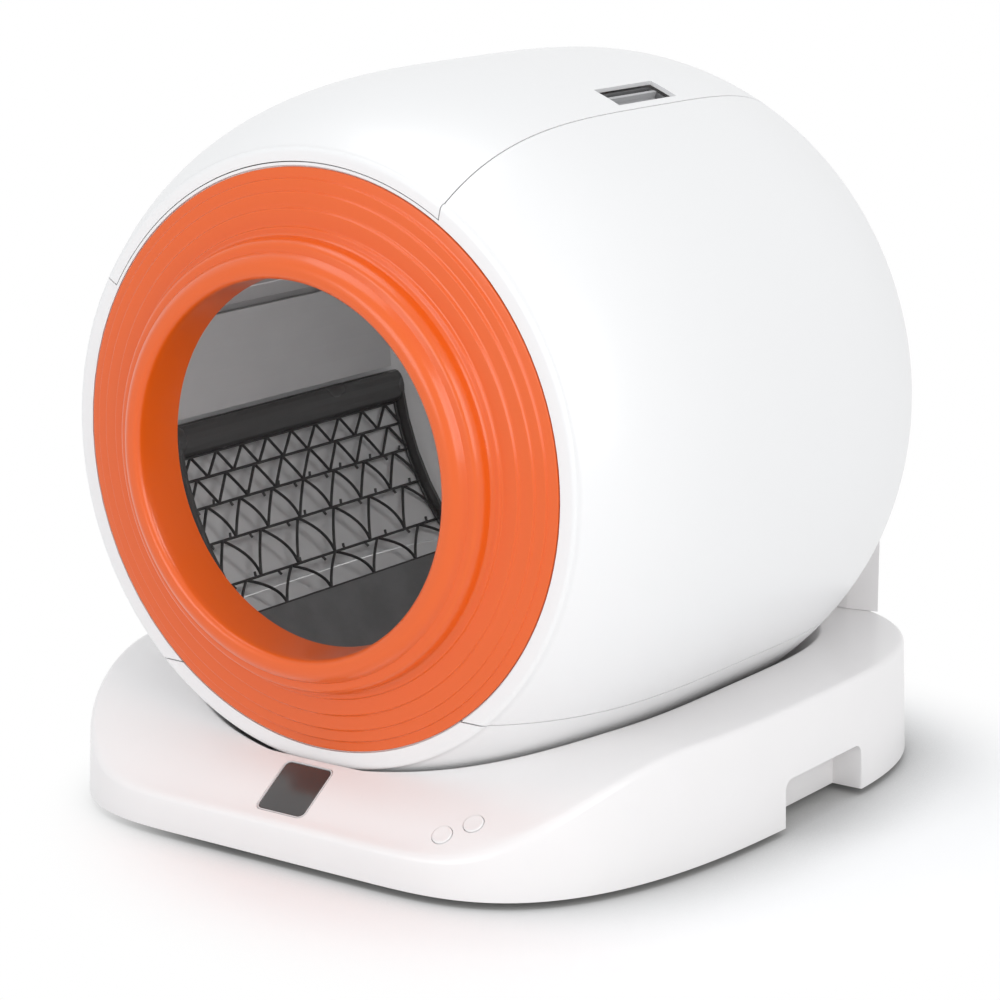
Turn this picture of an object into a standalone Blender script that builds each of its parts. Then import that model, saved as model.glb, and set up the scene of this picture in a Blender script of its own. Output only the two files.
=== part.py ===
"""Self cleaning litter box: a round drum that turns on rollers in a low sloping base.

Metres, +Z up. The front, with the entry opening, faces -Y. The origin lies on the floor
under the middle of the base. The drum turns about an axis that runs front to back.
"""
import bpy
import bmesh
from math import acos, asin, atan2, cos, hypot, pi, radians, sin, sqrt
from mathutils import Matrix, Vector

MM = 0.001

# Clearances shared by the whole object
running_gap = 0.3 * MM
seat_gap = 0.3 * MM
seam_gap = 0.7 * MM
cutter_overrun = 20 * MM
merge_distance = 0.01 * MM

# Drum body
drum_radius = 249.5 * MM
drum_floor_clearance = 14.8 * MM
drum_middle_y = 13.3 * MM
drum_front_reach = 277 * MM
drum_back_reach = 230.4 * MM
drum_front_power = 3.43
drum_back_power = 4.21
drum_wall = 3 * MM
drum_face_y = -210.5 * MM
drum_back_y = 222.5 * MM
drum_shoulder = 4 * MM
drum_back_shoulder = 6 * MM
drum_steps = 40
lower_seam_height = 108 * MM
front_flange_radius = 130.5 * MM
shoulder_share = 0.3
drum_station_shares = (1.0, 0.93, 0.8, 0.58, 0.25)
inside_station_shares = (1.0, 0.93, 0.75, 0.4)
back_bore_radius = 24 * MM

# Front ring with its entry collar
ring_radius = 196 * MM
ring_seat_depth = 2 * MM
ring_plate_back = 1.6 * MM
ring_step_rise = 2.3 * MM
ring_step_radii = (158 * MM, 170 * MM, 180.5 * MM, 189 * MM)
lip_outer_radius = 152 * MM
lip_crease_radius = 143.3 * MM
lip_reach = 39 * MM
lip_shoulder_drop = 8.2 * MM
entry_radius = 126.5 * MM
entry_wall = 3 * MM
ring_steps = 40
ring_soft_share = 0.35
lip_shoulder_shares = ((0, 0.7), (0.18, 0.15), (0.7, 0))
lip_dome_shares = ((0.85, 0.5), (0.6, 0.12), (0.35, 0), (0.1, 0.06))

# Base housing
base_half_width = 250 * MM
base_front_y = -263.7 * MM
base_back_y = 263.7 * MM
base_middle_y = 62.1 * MM
base_front_flat = 78.1 * MM
base_back_flat = 88.8 * MM
base_front_power = 3.07
base_back_power = 2.65
base_wall = 3 * MM
base_underside = 5 * MM
base_height = 88 * MM
base_draft = 0.035
base_edge_radius = 4 * MM
edge_round_share = 0.3
plan_steps = 11
ramp_foot_height = 30 * MM
ramp_length = 158.7 * MM
ramp_foot_pull = 16.7 * MM
ramp_head_pull = 100 * MM
slope_step = 1 * MM
well_front_gap = 3 * MM
well_back_gap = 8 * MM
well_gap_power = 3
well_wall = 2.5 * MM
floor_plate_thickness = 2.5 * MM

# Hand hold notches low in both sides of the base
notch_front_y = -12.5 * MM
notch_back_y = 91 * MM
notch_top = 38.5 * MM
notch_depth = 24 * MM
notch_corner = 8 * MM
notch_wall = 2.5 * MM

# Rubber feet
foot_radius = 14 * MM
foot_inset = 85 * MM
foot_x = base_half_width - foot_inset
foot_front_y = -180 * MM
foot_back_y = 175 * MM

# Display on the ramp
display_width = 38.5 * MM
display_length = 40.5 * MM
display_middle_y = -236.3 * MM
display_corner = 4 * MM
display_depth = 3 * MM
bezel_width = 1.3 * MM
display_sink = 0.6 * MM

# Push buttons on the ramp
button_radius = 7 * MM
button_names = ("clean_button", "power_button")
clean_button_inset = 122 * MM
clean_button_y = -243 * MM
power_button_inset = 105.1 * MM
power_button_y = -231.6 * MM
button_places = (
    (base_half_width - clean_button_inset, clean_button_y),
    (base_half_width - power_button_inset, power_button_y),
)
button_rise = 0.9 * MM
button_flat_share = 0.8
button_cap = 3.4 * MM
button_stem_radius = 2.2 * MM
button_stem_length = 5 * MM
button_gap = 0.35 * MM
button_travel = 1.2 * MM

# Support rollers
roller_radius = 16 * MM
roller_width = 18 * MM
roller_hub_radius = 11.5 * MM
roller_lean = radians(38)
roller_front_y = -45 * MM
roller_back_y = 75 * MM
roller_ear = 3 * MM
roller_side_gap = 0.6 * MM
axle_radius = 3 * MM
axle_gap = 0.09 * MM
axle_head = 1.5 * MM
cradle_width = 30 * MM
cradle_plate = 3 * MM
ear_head = 3 * MM
ear_foot_share = 0.45
ear_head_share = 0.2
hub_web_share = 0.6
hub_boss_share = 1.7
window_margin = 3 * MM

# Gear ring, pinion and motor
gear_module = 4 * MM
gear_teeth = 72
pinion_teeth = 12
gear_width = 9 * MM
gear_bore_radius = 122 * MM
gear_backlash = 0.35 * MM
shaft_radius = 4 * MM
gearbox_width = 52 * MM
gearbox_foot_depth = 36 * MM
gearbox_foot_height = 40 * MM
motor_radius = 17 * MM
motor_length = 56 * MM

# Rear tower
tower_half_width = 178 * MM
tower_front_y = 240 * MM
tower_wall = 3 * MM
tower_front_flat = 150 * MM
tower_front_bend = 6 * MM
cover_half_width = 96 * MM
cover_bottom = 112 * MM
cover_top = 350 * MM
cover_corner = 22 * MM
screw_inset_share = 0.6
cover_thickness = 2.5 * MM
vent_width = 3.5 * MM
vent_length = 64 * MM
vent_pitch = 10 * MM
vent_count = 7

# Centre pin that locates the drum on the tower
hub_pin_radius = 9 * MM
hub_flange_radius = 36 * MM
hub_flange_thickness = 4 * MM
hub_back = 8.5 * MM
hub_neck_share = 0.75

# Waste hatch
hatch_left_angle = radians(59.3)
hatch_right_x = 114.5 * MM
hatch_right_lean = radians(12.5)
hatch_back_y = 206 * MM
hatch_inner_radius = 199 * MM
hatch_arc_steps = 10
tab_places = (-22 * MM, 52 * MM)
tab_width = 18 * MM
tab_reach = 5 * MM
tab_root = 9 * MM
tab_thickness = 2.4 * MM
tab_gap = 0.6 * MM

# Latch in the finger recess of the hatch
recess_left_x = 87 * MM
recess_right_x = 108 * MM
recess_front_y = -13 * MM
recess_back_y = 58 * MM
recess_depth = 14 * MM
recess_wall = 1.6 * MM
latch_travel = 5 * MM
latch_thickness = 2.4 * MM
bolt_width = 16 * MM
strike_length = 12 * MM
strike_depth = 12 * MM

# Litter liner, sieve and chute inside the drum
liner_wall = 3 * MM
liner_right_angle = radians(96)
liner_left_angle = radians(150)
liner_front_y = -178 * MM
liner_back_y = 186 * MM
inner_gap = 0.4 * MM
sieve_inset = 21.5 * MM
sieve_radius = drum_radius - sieve_inset
sieve_thickness = 3 * MM
sieve_front_y = -93 * MM
sieve_back_y = 170 * MM
sieve_row_angles = tuple(radians(a) for a in (102.6, 106.9, 112.2, 119.0, 127.4, 134.0))
sieve_row_cells = (9, 8, 7, 6, 5)
sieve_bow_rows = (0.0, 0.0, 1.8 * MM, 3.2 * MM, 3.2 * MM)
sieve_bar = 2.6 * MM
sieve_frame_wall = 3 * MM
ramp_wall = 3 * MM
lip_top_angle = radians(96.2)
lip_low_angle = radians(102.4)
lip_nose = 7 * MM
lip_web = 4 * MM
chute_low_angle = radians(95.4)
chute_top_angle = radians(77)
chute_wall = 2.5 * MM
chute_inset = 20 * MM
chute_radius = drum_radius - chute_inset

# Waste tub behind the hatch, with its gravity flap
tub_wall = 2.5 * MM
tub_floor_slope = radians(24.4)
tub_depth = 108.5 * MM
tub_floor_distance = drum_radius - tub_depth
tub_front_y = -176 * MM
tub_back_y = 186 * MM
tub_rim = 9 * MM
flap_length = 60 * MM
flap_front_y = -120 * MM
flap_back_y = 143 * MM
flap_thickness = 2.5 * MM
flap_pin_radius = 2 * MM
flap_start = 23 * MM
flap_pin_reach = 8 * MM
tub_mouth_radius = 170 * MM

# Small electric parts
inlet_x = -70 * MM
inlet_height = 27 * MM
inlet_radius = 6.5 * MM
inlet_socket_radius = 3.2 * MM
inlet_pin_radius = 0.8 * MM
inlet_length = 13 * MM
board_thickness = 1.6 * MM
board_post = 6 * MM
board_half = 48 * MM
board_front_y = -252 * MM
board_length = 36 * MM
board_edge = 5 * MM
post_radius = 3.5 * MM
board_pin_radius = 1.7 * MM
switch_height = 3 * MM
screw_head_radius = 3.4 * MM
screw_head_height = 1.5 * MM
screw_front_x = base_half_width - 45 * MM
screw_front_y = -100 * MM
screw_back_x = base_half_width - 60 * MM
screw_back_y = 140 * MM
bottom_screw_places = (
    (-screw_front_x, screw_front_y), (screw_front_x, screw_front_y),
    (-screw_back_x, screw_back_y), (screw_back_x, screw_back_y),
)
sensor_circle = 100 * MM
sensor_width = 14 * MM
sensor_thickness = 4 * MM
magnet_radius = 5 * MM
magnet_thickness = 4 * MM

# Derived heights and places
axis_height = drum_floor_clearance + drum_radius
drum_axis = Vector((0, 0, axis_height))
drum_inner_radius = drum_radius - drum_wall
plate_top = base_underside + floor_plate_thickness
well_side_gap = drum_floor_clearance - plate_top - seat_gap - well_wall
roller_distance = drum_radius + roller_radius + running_gap
roller_x = roller_distance * sin(roller_lean)
roller_z = axis_height - roller_distance * cos(roller_lean)
gear_radius = gear_module * gear_teeth / 2
pinion_radius = gear_module * pinion_teeth / 2
gear_front_y = drum_back_y + seat_gap
gear_back_y = gear_front_y + gear_width
pinion_z = axis_height - gear_radius - pinion_radius
tower_top = axis_height + tower_half_width
tower_inset = base_draft * base_height
tower_back_y = base_back_y - tower_inset
tower_inner_y = tower_front_y + tower_wall
gearbox_front_y = tower_inner_y + seat_gap
gearbox_back_y = tower_back_y - tower_wall - seat_gap
facet_sag = drum_radius * (1 - cos(pi / drum_steps))
far_radius = drum_radius + cutter_overrun


# The scene starts empty, with one collection for the parts and one for the cutters.
for old in list(bpy.data.objects):
    bpy.data.objects.remove(old, do_unlink=True)
parts = bpy.data.collections.new("self_cleaning_litter_box")
tools = bpy.data.collections.new("cutters")
bpy.context.scene.collection.children.link(parts)
bpy.context.scene.collection.children.link(tools)
homes = {}


def make_material(name, color, roughness, metallic=0.0):
    """One plain Principled material."""
    material = bpy.data.materials.new(name)
    material.use_nodes = True
    shader = material.node_tree.nodes["Principled BSDF"]
    shader.inputs["Base Color"].default_value = (*color, 1.0)
    shader.inputs["Roughness"].default_value = roughness
    shader.inputs["Metallic"].default_value = metallic
    material.diffuse_color = (*color, 1.0)
    return material


white = make_material("white_plastic", (0.86, 0.86, 0.87), 0.32)
warm_white = make_material("base_white_plastic", (0.84, 0.82, 0.82), 0.36)
orange = make_material("orange_plastic", (0.80, 0.13, 0.025), 0.3)
dark_grey = make_material("dark_grey_plastic", (0.07, 0.07, 0.075), 0.5)
mid_grey = make_material("mid_grey_plastic", (0.22, 0.22, 0.23), 0.42)
light_grey = make_material("light_grey_plastic", (0.5, 0.5, 0.51), 0.45)
black_glass = make_material("black_gloss", (0.012, 0.012, 0.014), 0.08)
rubber = make_material("black_rubber", (0.03, 0.03, 0.03), 0.8)
steel = make_material("bright_steel", (0.6, 0.6, 0.62), 0.3, 1.0)
zinc = make_material("zinc_steel", (0.5, 0.5, 0.5), 0.4, 1.0)
acetal = make_material("natural_acetal", (0.75, 0.74, 0.7), 0.45)
circuit_green = make_material("circuit_green", (0.02, 0.16, 0.06), 0.5)


def make_home(name, position, parent=None):
    """An empty on a joint's axis. Its pieces hang on it."""
    empty = bpy.data.objects.new(name, None)
    parts.objects.link(empty)
    if parent is not None:
        empty.parent = parent
        empty.location = Vector(position) - homes[parent.name]
    else:
        empty.location = position
    homes[name] = Vector(position)
    return empty


def add(name, mesh, material=None, home=None, at=(0, 0, 0), turn=(0, 0, 0), cutter=False):
    """Put a mesh in the scene with its own origin at a world place, under its home."""
    obj = bpy.data.objects.new(name, mesh)
    collection = tools if cutter else parts
    collection.objects.link(obj)
    if home is not None:
        obj.parent = home
        obj.location = Vector(at) - homes[home.name]
    else:
        obj.location = at
    obj.rotation_euler = turn
    if cutter:
        obj.hide_render = True
        obj.display_type = "WIRE"
    else:
        own = material.copy()
        own.name = name
        mesh.materials.append(own)
    return obj


def finish_mesh(bm, name):
    """Turn a bmesh into a mesh whose faces point out."""
    bmesh.ops.remove_doubles(bm, verts=bm.verts, dist=merge_distance)
    bmesh.ops.recalc_face_normals(bm, faces=bm.faces)
    mesh = bpy.data.meshes.new(name)
    bm.to_mesh(mesh)
    bm.free()
    return mesh


def shade(obj, angle=radians(35)):
    """Smooth shading with sharp edges kept."""
    obj.data.shade_smooth()
    obj.data.set_sharp_from_angle(angle=angle)


def to_axis(along, u, v, w):
    """A point with outline coordinates u and v and the place w along the named axis."""
    if along == "X":
        return (w, u, v)
    if along == "Y":
        return (u, w, v)
    return (u, v, w)


def add_prism(bm, outline, low, high, along="Y"):
    """A flat outline pushed along an axis."""
    corners = [bm.verts.new(to_axis(along, u, v, low)) for u, v in outline]
    face = bm.faces.new(corners)
    made = bmesh.ops.extrude_face_region(bm, geom=[face])
    moved = [item for item in made["geom"] if isinstance(item, bmesh.types.BMVert)]
    bmesh.ops.translate(bm, verts=moved, vec=to_axis(along, 0, 0, high - low))


def prism(name, outline, low, high, along="Y", **place):
    """One prism as an object."""
    bm = bmesh.new()
    add_prism(bm, outline, low, high, along)
    return add(name, finish_mesh(bm, name), **place)


def add_box(bm, low, high):
    """A box between two corners."""
    made = bmesh.ops.create_cube(bm, size=1)
    middle = (Vector(low) + Vector(high)) / 2
    size = Vector(high) - Vector(low)
    bmesh.ops.scale(bm, verts=made["verts"], vec=size)
    bmesh.ops.translate(bm, verts=made["verts"], vec=middle)
    return made["verts"]


def add_cylinder(bm, radius, low, high, steps, along="Z", middle=(0, 0)):
    """A round bar along an axis."""
    rotation = Matrix.Identity(3)
    if along == "X":
        rotation = Matrix.Rotation(pi / 2, 3, "Y")
    if along == "Y":
        rotation = Matrix.Rotation(-pi / 2, 3, "X")
    made = bmesh.ops.create_cone(
        bm, cap_ends=True, segments=steps, radius1=radius, radius2=radius, depth=high - low
    )
    bmesh.ops.rotate(bm, verts=made["verts"], cent=(0, 0, 0), matrix=rotation)
    centre = to_axis(along, middle[0], middle[1], (low + high) / 2)
    bmesh.ops.translate(bm, verts=made["verts"], vec=centre)
    return made["verts"]


def turned(name, profile, steps, closed=True, **place):
    """A profile of radius and height turned about the local Z axis."""
    mesh = bpy.data.meshes.new(name)
    verts = [(radius, 0, height) for radius, height in profile]
    edges = [(i, i + 1) for i in range(len(verts) - 1)]
    if closed:
        edges.append((len(verts) - 1, 0))
    mesh.from_pydata(verts, edges, [])
    obj = add(name, mesh, **place)
    screw = obj.modifiers.new("turn", "SCREW")
    screw.axis = "Z"
    screw.steps = steps
    screw.render_steps = steps
    screw.use_merge_vertices = True
    screw.merge_threshold = merge_distance
    screw.use_smooth_shade = True
    return obj


def boolean(obj, cutter, operation):
    """One Boolean modifier."""
    modifier = obj.modifiers.new(operation.lower(), "BOOLEAN")
    modifier.operation = operation
    modifier.solver = "EXACT"
    modifier.object = cutter


def cut(obj, *cutters):
    for cutter in cutters:
        boolean(obj, cutter, "DIFFERENCE")


def keep(obj, cutter):
    boolean(obj, cutter, "INTERSECT")


def arc(radius, start, end, steps, centre=(0, 0)):
    """Points on a circle. Angles run from the top, positive towards +X."""
    points = []
    for i in range(steps + 1):
        angle = start + (end - start) * i / steps
        points.append((centre[0] + radius * sin(angle), centre[1] + radius * cos(angle)))
    return points


def rounded_outline(half_u, half_v, corner, steps, middle=(0, 0)):
    """A rectangle with round corners."""
    points = []
    centres = ((1, 1), (1, -1), (-1, -1), (-1, 1))
    for i, (su, sv) in enumerate(centres):
        cu = middle[0] + su * (half_u - corner)
        cv = middle[1] + sv * (half_v - corner)
        start = i * pi / 2
        points += arc(corner, start, start + pi / 2, steps, (cu, cv))
    return points


y_up = (-pi / 2, 0, 0)


# Drum outline
def drum_profile_radius(y):
    """Outer radius of the drum's round body at y."""
    reach = drum_front_reach if y < drum_middle_y else drum_back_reach
    power = drum_front_power if y < drum_middle_y else drum_back_power
    share = abs(y - drum_middle_y) / reach
    return drum_radius * (1 - share ** power) ** (1 / power)


def drum_outer_profile(back_y, front_y, shares=drum_station_shares):
    """Radius and y from the back to the front along the round body."""
    points = []
    for share in shares:
        y = drum_middle_y + (back_y - drum_middle_y) * share
        points.append((drum_profile_radius(y), y))
    for share in reversed(shares):
        y = drum_middle_y + (front_y - drum_middle_y) * share
        points.append((drum_profile_radius(y), y))
    return points


body_back_y = drum_back_y - drum_back_shoulder
body_front_y = drum_face_y + drum_shoulder
back_flat_radius = drum_profile_radius(body_back_y) - 2 * drum_back_shoulder
front_flat_radius = drum_profile_radius(body_front_y) - drum_shoulder
ring_groove_radius = ring_radius + 1.5 * seam_gap
ring_seat_y = drum_face_y + ring_seat_depth


def inset_profile(profile, distance):
    """Profile points moved square to the line through their neighbours."""
    moved = []
    for i, (radius, y) in enumerate(profile):
        before = profile[max(i - 1, 0)]
        after = profile[min(i + 1, len(profile) - 1)]
        dr = after[0] - before[0]
        dy = after[1] - before[1]
        length = hypot(dr, dy)
        moved.append((radius + distance * dy / length, y - distance * dr / length))
    return moved


def skin_depth():
    """Depth of the shell's inner face below its outer radius, where the body is widest."""
    share = inside_station_shares[-1]
    back = drum_profile_radius(drum_middle_y + (body_back_y - drum_middle_y) * share)
    front = drum_profile_radius(drum_middle_y + (body_front_y - drum_middle_y) * share)
    return drum_radius - min(back, front) + drum_wall


def clipped_inside(distance, face_y):
    """Body points moved in by a distance, ending on a flat front face with a small chamfer."""
    body = drum_outer_profile(body_back_y, body_front_y, inside_station_shares)
    inside = inset_profile(body, distance)
    start_y = face_y + drum_wall
    kept = [p for p in inside if p[1] > start_y]
    before = kept[-1]
    after = inside[len(kept)] if len(kept) < len(inside) else inside[-1]
    share = (before[1] - start_y) / (before[1] - after[1])
    corner = before[0] + (after[0] - before[0]) * share
    return kept + [(corner, start_y), (corner - drum_wall, face_y)]


def drum_shell_profile():
    """Closed outline of the drum's wall, outside first, from the back to the front."""
    body = drum_outer_profile(body_back_y, body_front_y)
    back_bend = (
        drum_profile_radius(body_back_y) - drum_back_shoulder * (1 - shoulder_share),
        drum_back_y - drum_back_shoulder * shoulder_share,
    )
    front_bend = (
        front_flat_radius + drum_shoulder * (1 - shoulder_share),
        drum_face_y + drum_shoulder * shoulder_share,
    )
    outer = [(back_bore_radius, drum_back_y), (back_flat_radius, drum_back_y), back_bend]
    outer += body
    outer += [front_bend, (front_flat_radius, drum_face_y), (ring_groove_radius, drum_face_y)]
    outer += [(ring_groove_radius, ring_seat_y), (front_flange_radius, ring_seat_y)]
    inner_face_y = ring_seat_y + drum_wall
    inner = [(front_flange_radius, inner_face_y)]
    inner += list(reversed(clipped_inside(drum_wall, inner_face_y)))
    inner.append((back_flat_radius, drum_back_y - drum_wall))
    inner.append((back_bore_radius, drum_back_y - drum_wall))
    return outer + inner


def drum_inside_profile(gap):
    """Open outline of the space inside the drum's wall, a gap inside it."""
    front_y = ring_seat_y + drum_wall + gap
    back_y = drum_back_y - drum_wall - gap
    points = [(0, back_y), (back_flat_radius - gap, back_y)]
    points += clipped_inside(drum_wall + gap, front_y)
    points.append((0, front_y))
    return points


def drum_tool(name, profile, closed, **place):
    return turned(name, profile, drum_steps, closed=closed, at=drum_axis, turn=y_up, **place)


drum_home = make_home("drum_axis", drum_axis)


def drum_prism(name, outline, low, high, **place):
    """A prism along Y whose outline is measured from the drum's axis."""
    place.setdefault("at", drum_axis)
    return prism(name, outline, low, high, "Y", **place)


# Hatch outline: a radial plane on the left, a leaning plane on the right
def hatch_outline(gap, inner_radius, outer_radius):
    """Cross-section of the hatch's sector, moved in by a gap at both seams."""
    left_start = -hatch_left_angle + gap / drum_radius
    top_angle = asin(hatch_right_x / drum_radius)
    top_z = drum_radius * cos(top_angle)

    def right_x(z):
        return hatch_right_x - gap + (z - top_z) * sin(hatch_right_lean) / cos(hatch_right_lean)

    inner_right = inner_radius * cos(top_angle)
    outer_right = outer_radius * cos(top_angle)
    inner_x = right_x(inner_right)
    outer_x = right_x(outer_right)
    points = arc(inner_radius, left_start, asin(inner_x / inner_radius), hatch_arc_steps)
    points[-1] = (inner_x, inner_right)
    points += [(outer_x, outer_right), (outer_x, outer_radius + cutter_overrun)]
    far = outer_radius + cutter_overrun
    points += [(-far, far), (far * sin(left_start), far * cos(left_start))]
    return points


drum_front_limit = drum_face_y - cutter_overrun
hatch_opening = drum_prism(
    "hatch_opening", hatch_outline(0, hatch_inner_radius, far_radius),
    drum_front_limit, hatch_back_y, cutter=True,
)
hatch_keep = drum_prism(
    "hatch_keep", hatch_outline(seam_gap, hatch_inner_radius + seam_gap, far_radius),
    drum_front_limit - cutter_overrun, hatch_back_y - seam_gap, cutter=True,
)
wide = drum_radius + 2 * cutter_overrun
below_seam = lower_seam_height - axis_height
lower_keep = drum_prism(
    "lower_keep",
    [(-wide, -wide), (wide, -wide), (wide, below_seam - seam_gap), (-wide, below_seam - seam_gap)],
    -wide - cutter_overrun, wide + cutter_overrun, cutter=True,
)
upper_keep = drum_prism(
    "upper_keep", [(-wide, below_seam), (wide, below_seam), (wide, wide), (-wide, wide)],
    -wide - cutter_overrun, wide + cutter_overrun, cutter=True,
)


def add_shells():
    """Upper and lower halves of the drum's wall."""
    upper = drum_tool("drum_upper_shell", drum_shell_profile(), True, material=white, home=drum_home)
    keep(upper, upper_keep)
    cut(upper, hatch_opening)
    lower = drum_tool("drum_lower_shell", drum_shell_profile(), True, material=white, home=drum_home)
    keep(lower, lower_keep)
    return upper


seam_left_point = Vector((-drum_radius * sin(hatch_left_angle), 0, drum_radius * cos(hatch_left_angle)))
hatch_home = make_home("hatch_hinge_axis", drum_axis + seam_left_point, drum_home)
recess_middle = (recess_left_x + recess_right_x) / 2
recess_angle = asin(recess_middle / drum_radius)


def recess_point(along, out):
    """A point from the recess's middle: along the skin towards +X, and outwards."""
    x = drum_radius * sin(recess_angle) + along * cos(recess_angle) + out * sin(recess_angle)
    z = drum_radius * cos(recess_angle) - along * sin(recess_angle) + out * cos(recess_angle)
    return (x, z)


recess_half = (recess_right_x - recess_left_x) / 2 / cos(recess_angle)
bolt_y = (recess_front_y + recess_back_y) / 2
seam_along = (hatch_right_x - recess_middle) / cos(recess_angle)


def recess_outline(margin, top, bottom):
    """Cross-section of the recess between two depths."""
    low = -recess_half - margin
    high = recess_half + margin
    return [recess_point(low, top), recess_point(high, top),
            recess_point(high, bottom), recess_point(low, bottom)]


def skin_sag(along):
    """How far the faceted skin lies below the tangent plane at a distance along it."""
    return along ** 2 / (2 * drum_radius) + facet_sag


def seam_point(along, out):
    """A point from the left seam's outer edge: along the hatch's skin, and outwards."""
    x = seam_left_point.x + along * cos(hatch_left_angle) - out * sin(hatch_left_angle)
    z = seam_left_point.z + along * sin(hatch_left_angle) + out * cos(hatch_left_angle)
    return (x, z)


def bar(name, radius, low, high, steps, along="Y", middle=(0, 0), **place):
    """One round bar as an object."""
    bm = bmesh.new()
    add_cylinder(bm, radius, low, high, steps, along, middle)
    return add(name, finish_mesh(bm, name), **place)


def round_room(radius, steps):
    """Radius of a faceted bore whose flats clear a round bar that turns in it."""
    return (radius + axle_gap) / cos(pi / steps)


def add_hook_tabs(skin):
    """Two hooks on the hatch's left edge that reach under the shell. The hatch tilts on them."""
    top = -skin_depth() - tab_gap - facet_sag
    low = top - tab_thickness
    root = -drum_wall / 2 - facet_sag
    outline = [
        seam_point(-tab_reach, top), seam_point(2 * seam_gap, top), seam_point(2 * seam_gap, root),
        seam_point(tab_root, root), seam_point(tab_root, low), seam_point(-tab_reach, low),
    ]
    for i, y in enumerate(tab_places):
        tab = drum_prism("hook_tab_%d" % (i + 1), outline, y - tab_width / 2, y + tab_width / 2, cutter=True)
        boolean(skin, tab, "UNION")


def add_hatch():
    """The hatch skin with its finger recess and the cup below it."""
    skin = drum_tool("hatch_cover", drum_shell_profile(), True, material=white, home=hatch_home)
    keep(skin, hatch_keep)
    mouth = drum_prism(
        "recess_mouth", recess_outline(0, cutter_overrun, -recess_depth),
        recess_front_y, recess_back_y, cutter=True,
    )
    cut(skin, mouth)

    cup_top = -skin_depth() - seat_gap - skin_sag(recess_half + recess_wall)
    cup = drum_prism(
        "latch_recess_cup", recess_outline(recess_wall, cup_top, -recess_depth),
        recess_front_y - recess_wall, recess_back_y + recess_wall,
        material=mid_grey, home=hatch_home,
    )
    hollow = drum_prism(
        "recess_hollow", recess_outline(0, cutter_overrun, recess_wall - recess_depth),
        recess_front_y, recess_back_y, cutter=True,
    )
    slot = drum_prism(
        "bolt_slot",
        [recess_point(0, slide_top + running_gap), recess_point(seam_along, slide_top + running_gap),
         recess_point(seam_along, slide_low - running_gap), recess_point(0, slide_low - running_gap)],
        bolt_y - bolt_width / 2 - running_gap, bolt_y + bolt_width / 2 + running_gap, cutter=True,
    )
    cut(cup, hollow, slot)
    add_hook_tabs(skin)


slide_low = recess_wall - recess_depth + running_gap
slide_top = slide_low + latch_thickness
recess_x, recess_z = recess_point(0, slide_low)
latch_home = make_home("latch_slide_axis", drum_axis + Vector((recess_x, bolt_y, recess_z)), hatch_home)


def add_latch():
    """Sliding latch plate with an upright grip, and a bolt that ends at the seam."""
    low_y = recess_front_y + running_gap
    high_y = recess_back_y - running_gap
    grip_left = -recess_half + latch_travel + running_gap
    grip_right = grip_left + latch_thickness
    plate_right = recess_half - running_gap
    grip_top = -2 * latch_thickness
    plate = drum_prism(
        "latch_slider",
        [recess_point(grip_left, slide_low), recess_point(plate_right, slide_low),
         recess_point(plate_right, slide_top), recess_point(grip_right, slide_top),
         recess_point(grip_right, grip_top), recess_point(grip_left, grip_top)],
        low_y, high_y, material=light_grey, home=latch_home,
    )
    half = latch_thickness / 2
    nose = drum_prism(
        "latch_nose",
        [recess_point(0, slide_low), recess_point(seam_along - half, slide_low),
         recess_point(seam_along, slide_low + half), recess_point(seam_along - half, slide_top),
         recess_point(0, slide_top)],
        bolt_y - bolt_width / 2, bolt_y + bolt_width / 2, cutter=True,
    )
    boolean(plate, nose, "UNION")


def add_strike(shell):
    """Block inside the shell, just past the seam, that the latch's bolt faces."""
    lean = recess_angle - hatch_right_lean
    shift = strike_depth * sin(lean) / cos(lean)
    start = seam_along + seam_gap
    root = -drum_wall / 2 - skin_sag(start + strike_length)
    strike = drum_prism(
        "latch_strike",
        [recess_point(start, root), recess_point(start + strike_length, root),
         recess_point(start + strike_length, root - latch_thickness),
         recess_point(start + shift + latch_thickness, -strike_depth),
         recess_point(start + shift, -strike_depth)],
        bolt_y - bolt_width, bolt_y + bolt_width, cutter=True,
    )
    boolean(shell, strike, "UNION")


# Ring on the drum's mouth
def ring_profile():
    """Closed outline of the ring: steps and lip in front, hollow behind, collar at the mouth."""
    back_y = ring_seat_y - seat_gap
    y = ring_seat_y - ring_plate_back
    soft = ring_step_rise * ring_soft_share
    points = [(ring_radius, back_y), (ring_radius, y + soft), (ring_radius - soft, y)]
    for radius in reversed(ring_step_radii):
        points.append((radius + soft, y))
        y -= ring_step_rise
        points.append((radius - soft, y))
    lip_front_y = ring_seat_y - lip_reach
    crease_y = lip_front_y + lip_shoulder_drop
    shoulder = lip_outer_radius - lip_crease_radius
    points.append((lip_outer_radius + soft, y))
    for inset_share, drop_share in lip_shoulder_shares:
        points.append((lip_outer_radius - shoulder * inset_share, crease_y + shoulder * drop_share))
    points.append((lip_crease_radius, crease_y))
    width = lip_crease_radius - entry_radius
    for along_share, drop_share in lip_dome_shares:
        radius = entry_radius + width * along_share
        points.append((radius, lip_front_y + lip_shoulder_drop * drop_share))
    points.append((entry_radius, lip_front_y + entry_wall))
    inner_y = ring_seat_y + drum_wall + entry_wall
    points += [(entry_radius, inner_y), (entry_radius + entry_wall, inner_y)]
    step_y = back_y - ring_plate_back
    hollow_y = crease_y + shoulder + entry_wall
    points += [(entry_radius + entry_wall, hollow_y), (lip_outer_radius - entry_wall, hollow_y)]
    points += [(lip_outer_radius - entry_wall, step_y), (lip_outer_radius + entry_wall, step_y)]
    points.append((lip_outer_radius + entry_wall, back_y))
    return points


def add_ring():
    """Orange ring whose collar passes through the shell's mouth."""
    turned("front_ring", ring_profile(), ring_steps, material=orange, home=drum_home, at=drum_axis, turn=y_up)


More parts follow.
